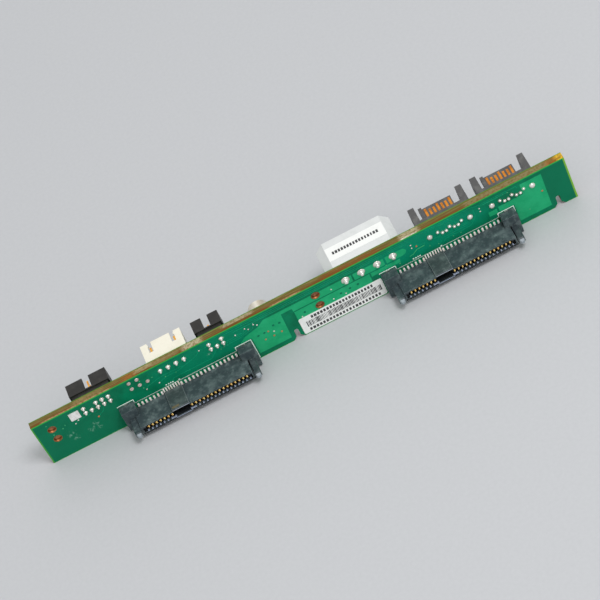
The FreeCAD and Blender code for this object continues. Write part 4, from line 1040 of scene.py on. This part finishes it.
legendLook = {
    "width": 0.25, "bold": 0.5, "thickness": 0.03, "past": (0.13, 0.12, 0.52), "tick": 0.25, "foot": 0.35,
    "shoulder": 5.05, "step": 1.59, "dot": (0.55, 0.05, 0.5), "dotAt": (19.65, 0.38),
    "dashesAt": {"left": 15.4, "right": 10.55}, "dashRise": 0.72, "dash": 0.42,
    "dashPlaces": [(0, 0), (0.75, 0.05), (1.45, 0), (2.1, 0.05)],
    # on the back
    "margin": 0.42, "edge": 0.3, "gap": 1.3, "backDash": (0.6, -0.62), "notch": 0.1,
    "capacitor": (9, 2.5), "chipSides": (0.3, 0.3), "caseSides": (0.35, 0.2),
}


# four short dashes where a place is marked
def dashMarks(x, z, look):
    starts = [(x + offset, z - fall) for offset, fall in look["dashPlaces"]]
    return [[(left, level), (left + look["dash"], level)] for left, level in starts]


def makeLegends(look):
    paths, dots, marks = [], [], []
    step, shoulder, (leftPast, rightPast, above) = look["step"], look["shoulder"], look["past"]
    along, rise = look["dotAt"]
    for side, inset in look["dashesAt"].items():
        low, high = boxOf(f"{side}_receptacle_housing")
        left, right, top = low.x - leftPast, high.x + rightPast, high.z + above
        paths.append([(left, top - look["tick"]), (left, top), (left + shoulder, top),
                      (left + shoulder, top - step), (right - shoulder, top - step), (right - shoulder, top),
                      (right, top), (right, look["foot"])])
        dots.append(((left + along, frontFace, top - step + rise), look["dot"], 0.0))
        marks += dashMarks(left + inset, top - step + look["dashRise"], look)
    strips("receptacle_legend", paths, frontFace, look["width"], look["thickness"], 0.05, "silk")
    spots("pin_one_legend", "dome", dots, "silk")
    strips("place_legend", marks, frontFace, look["bold"], look["thickness"], 0.01, "silk")


# outlines round what stands on the back face
def makeBackLegends(look):
    paths, marks, margin, edge, gap = [], [], look["margin"], boardHigh.z - look["edge"], look["gap"]
    inset, drop = look["backDash"]
    widest, highest = look["capacitor"]
    for low, high in backBoxes:
        left, right, bottom, top = low.x - margin, high.x + margin, low.z - margin, high.z + margin
        middle = (left + right) / 2
        if top > edge:
            paths.append([(left, edge), (left, bottom), (right, bottom), (right, edge)])
        elif right - left < widest and high.y < highest:  # round the capacitor, open above and below
            for start, end in ((middle - gap, left), (middle + gap, right)):
                paths.append([(start, top), (end, top), (end, bottom), (start, bottom)])
        else:
            start = left + look["notch"]
            paths.append([(start, top), (right, top), (right, bottom), (left, bottom), (left, top)])
        marks += dashMarks(left + inset, bottom + drop, look)
    # a line at each side of a chip
    chips = islands("chip_capacitors") + islands("chip_resistors")
    sides = [(low, high, *look["chipSides"]) for x, low, high in chips]
    sides.append((*boxOf("logic_chip_case"), *look["caseSides"]))
    for low, high, out, short in sides:
        paths += [[(x, low.z + short), (x, high.z - short)] for x in (low.x - out, high.x + out)]
    strips("back_legend", paths, backFace, look["width"], look["thickness"], 0.05, "silk")
    strips("back_place_legend", marks, backFace, look["bold"], look["thickness"], 0.01, "silk")


makeLegends(legendLook)
makeBackLegends(legendLook)
print("legend printed")

# part, level up the label, count, pitch, inset, thinnest, widest, height
labelLook = {
    "front": [
        ("upper", 0.83, 20, 1.016, 4.1, 0.5, 0.8, 1.1), ("bars", 0.51, 58, 0.417, 1.95, 0.08, 0.38, 2.3),
        ("lower", 0.165, 22, 1.06, 2.35, 0.5, 0.85, 1.05)],
    "power": {"Count": 16, "Pitch": 0.94, "Thinnest": 0.45, "Widest": 0.75, "Thickness": 1.15, "Seed": 5},
    "powerInset": 2.0, "ink": 0.015,
}


def barRow(name, start, values):
    metres = {label: value * mm if isinstance(value, float) else value for label, value in values.items()}
    runTree(name, pointMesh(name, [start]), *barTree, "print", metres)


# plain bars where a label is printed
def makeLabelBars(look):
    low, high = boxOf("front_label")
    ink = look["ink"]
    for part, level, count, pitch, inset, thinnest, widest, height in look["front"]:
        barRow(f"front_label_{part}", (low.x + inset, low.y - ink / 2, low.z + level * (high.z - low.z)), {
            "Count": count, "Pitch": pitch, "Height": height, "Thinnest": thinnest, "Widest": widest,
            "Thickness": ink, "Seed": len(part)})
    low, high = boxOf("power_header_label")
    start = (low.x + look["powerInset"], (low.y + high.y) / 2, high.z + ink / 2)
    barRow("power_label_bars", start, {**look["power"], "Height": ink})


makeLabelBars(labelLook)
print("labels barred")

stageLook = {"floor": (203, 205, 208), "grain": (196, 198, 201), "size": 3000, "drop": 0.02}


def makeStage(look):
    material, shader, point = startMaterial("paleFloor")
    colour = mix(makeNoise(point, 900.0, 2.0, 0.5), look["floor"], look["grain"])
    feed(shader, {"Base Color": colour, "Roughness": 0.9})
    half, level = look["size"] / 2, cadLow.z / mm - look["drop"]
    mesh = bpy.data.meshes.new("floor")
    corners = [(x * mm, y * mm, level * mm) for x, y in rectangle(-half, -half, half, half)]
    mesh.from_pydata(corners, [], [(0, 1, 2, 3)])
    mesh.materials.append(material)
    addObject("floor", mesh)


makeStage(stageLook)

# name, place, size, power; metres and watts
lightLook = {
    "world": 0.62, "aim": (0.0, 0.0, 0.008),
    "lamps": [("key", (0.3, -0.36, 0.92), 0.32, 4.1), ("front", (-0.1, -0.95, 0.5), 0.8, 0.7),
              ("back", (0.1, 0.85, 0.5), 0.8, 1.0)],
}


def makeLights(look):
    for name, place, size, power in look["lamps"]:
        lamp = bpy.data.lights.new(name, "AREA")
        lamp.shape, lamp.size, lamp.energy = "SQUARE", size, power
        holder = addObject(name, lamp)
        holder.location = place
        holder.rotation_euler = (Vector(look["aim"]) - Vector(place)).to_track_quat("-Z", "Y").to_euler()
    world = bpy.data.worlds.new("studio")
    world.use_nodes = True
    background = world.node_tree.nodes["Background"]
    background.inputs["Color"].default_value = (1.0, 1.0, 1.0, 1.0)
    background.inputs["Strength"].default_value = look["world"]
    scene.world = world


makeLights(lightLook)

# towards points from the target to the camera, and upwards is the camera's rise before the roll
cameraLook = {
    "target": (0.017, -1.2, 14.335), "towards": (0.01293, -0.6869, 0.7267), "upwards": (0, 0.7267, 0.6869),
    "distance": 714.8, "lens": 149.484, "roll": 27.02,
}


def makeCamera(look):
    camera = bpy.data.cameras.new("camera")
    camera.lens, camera.sensor_width, camera.clip_start, camera.clip_end = look["lens"], 36.0, 0.01, 20.0
    back = Vector(look["towards"]).normalized()
    side = Vector(look["upwards"]).cross(back).normalized()
    rise = back.cross(side)
    angle = math.radians(look["roll"])
    right = math.cos(angle) * side - math.sin(angle) * rise
    up = math.sin(angle) * side + math.cos(angle) * rise
    place = (Vector(look["target"]) + back * look["distance"]) * mm
    scene.camera = addObject("camera", camera)
    scene.camera.matrix_world = Matrix((*zip(right, up, back, place), (0, 0, 0, 1)))


makeCamera(cameraLook)
scene.view_settings.view_transform = "Standard"
print("stage, lights and camera set")
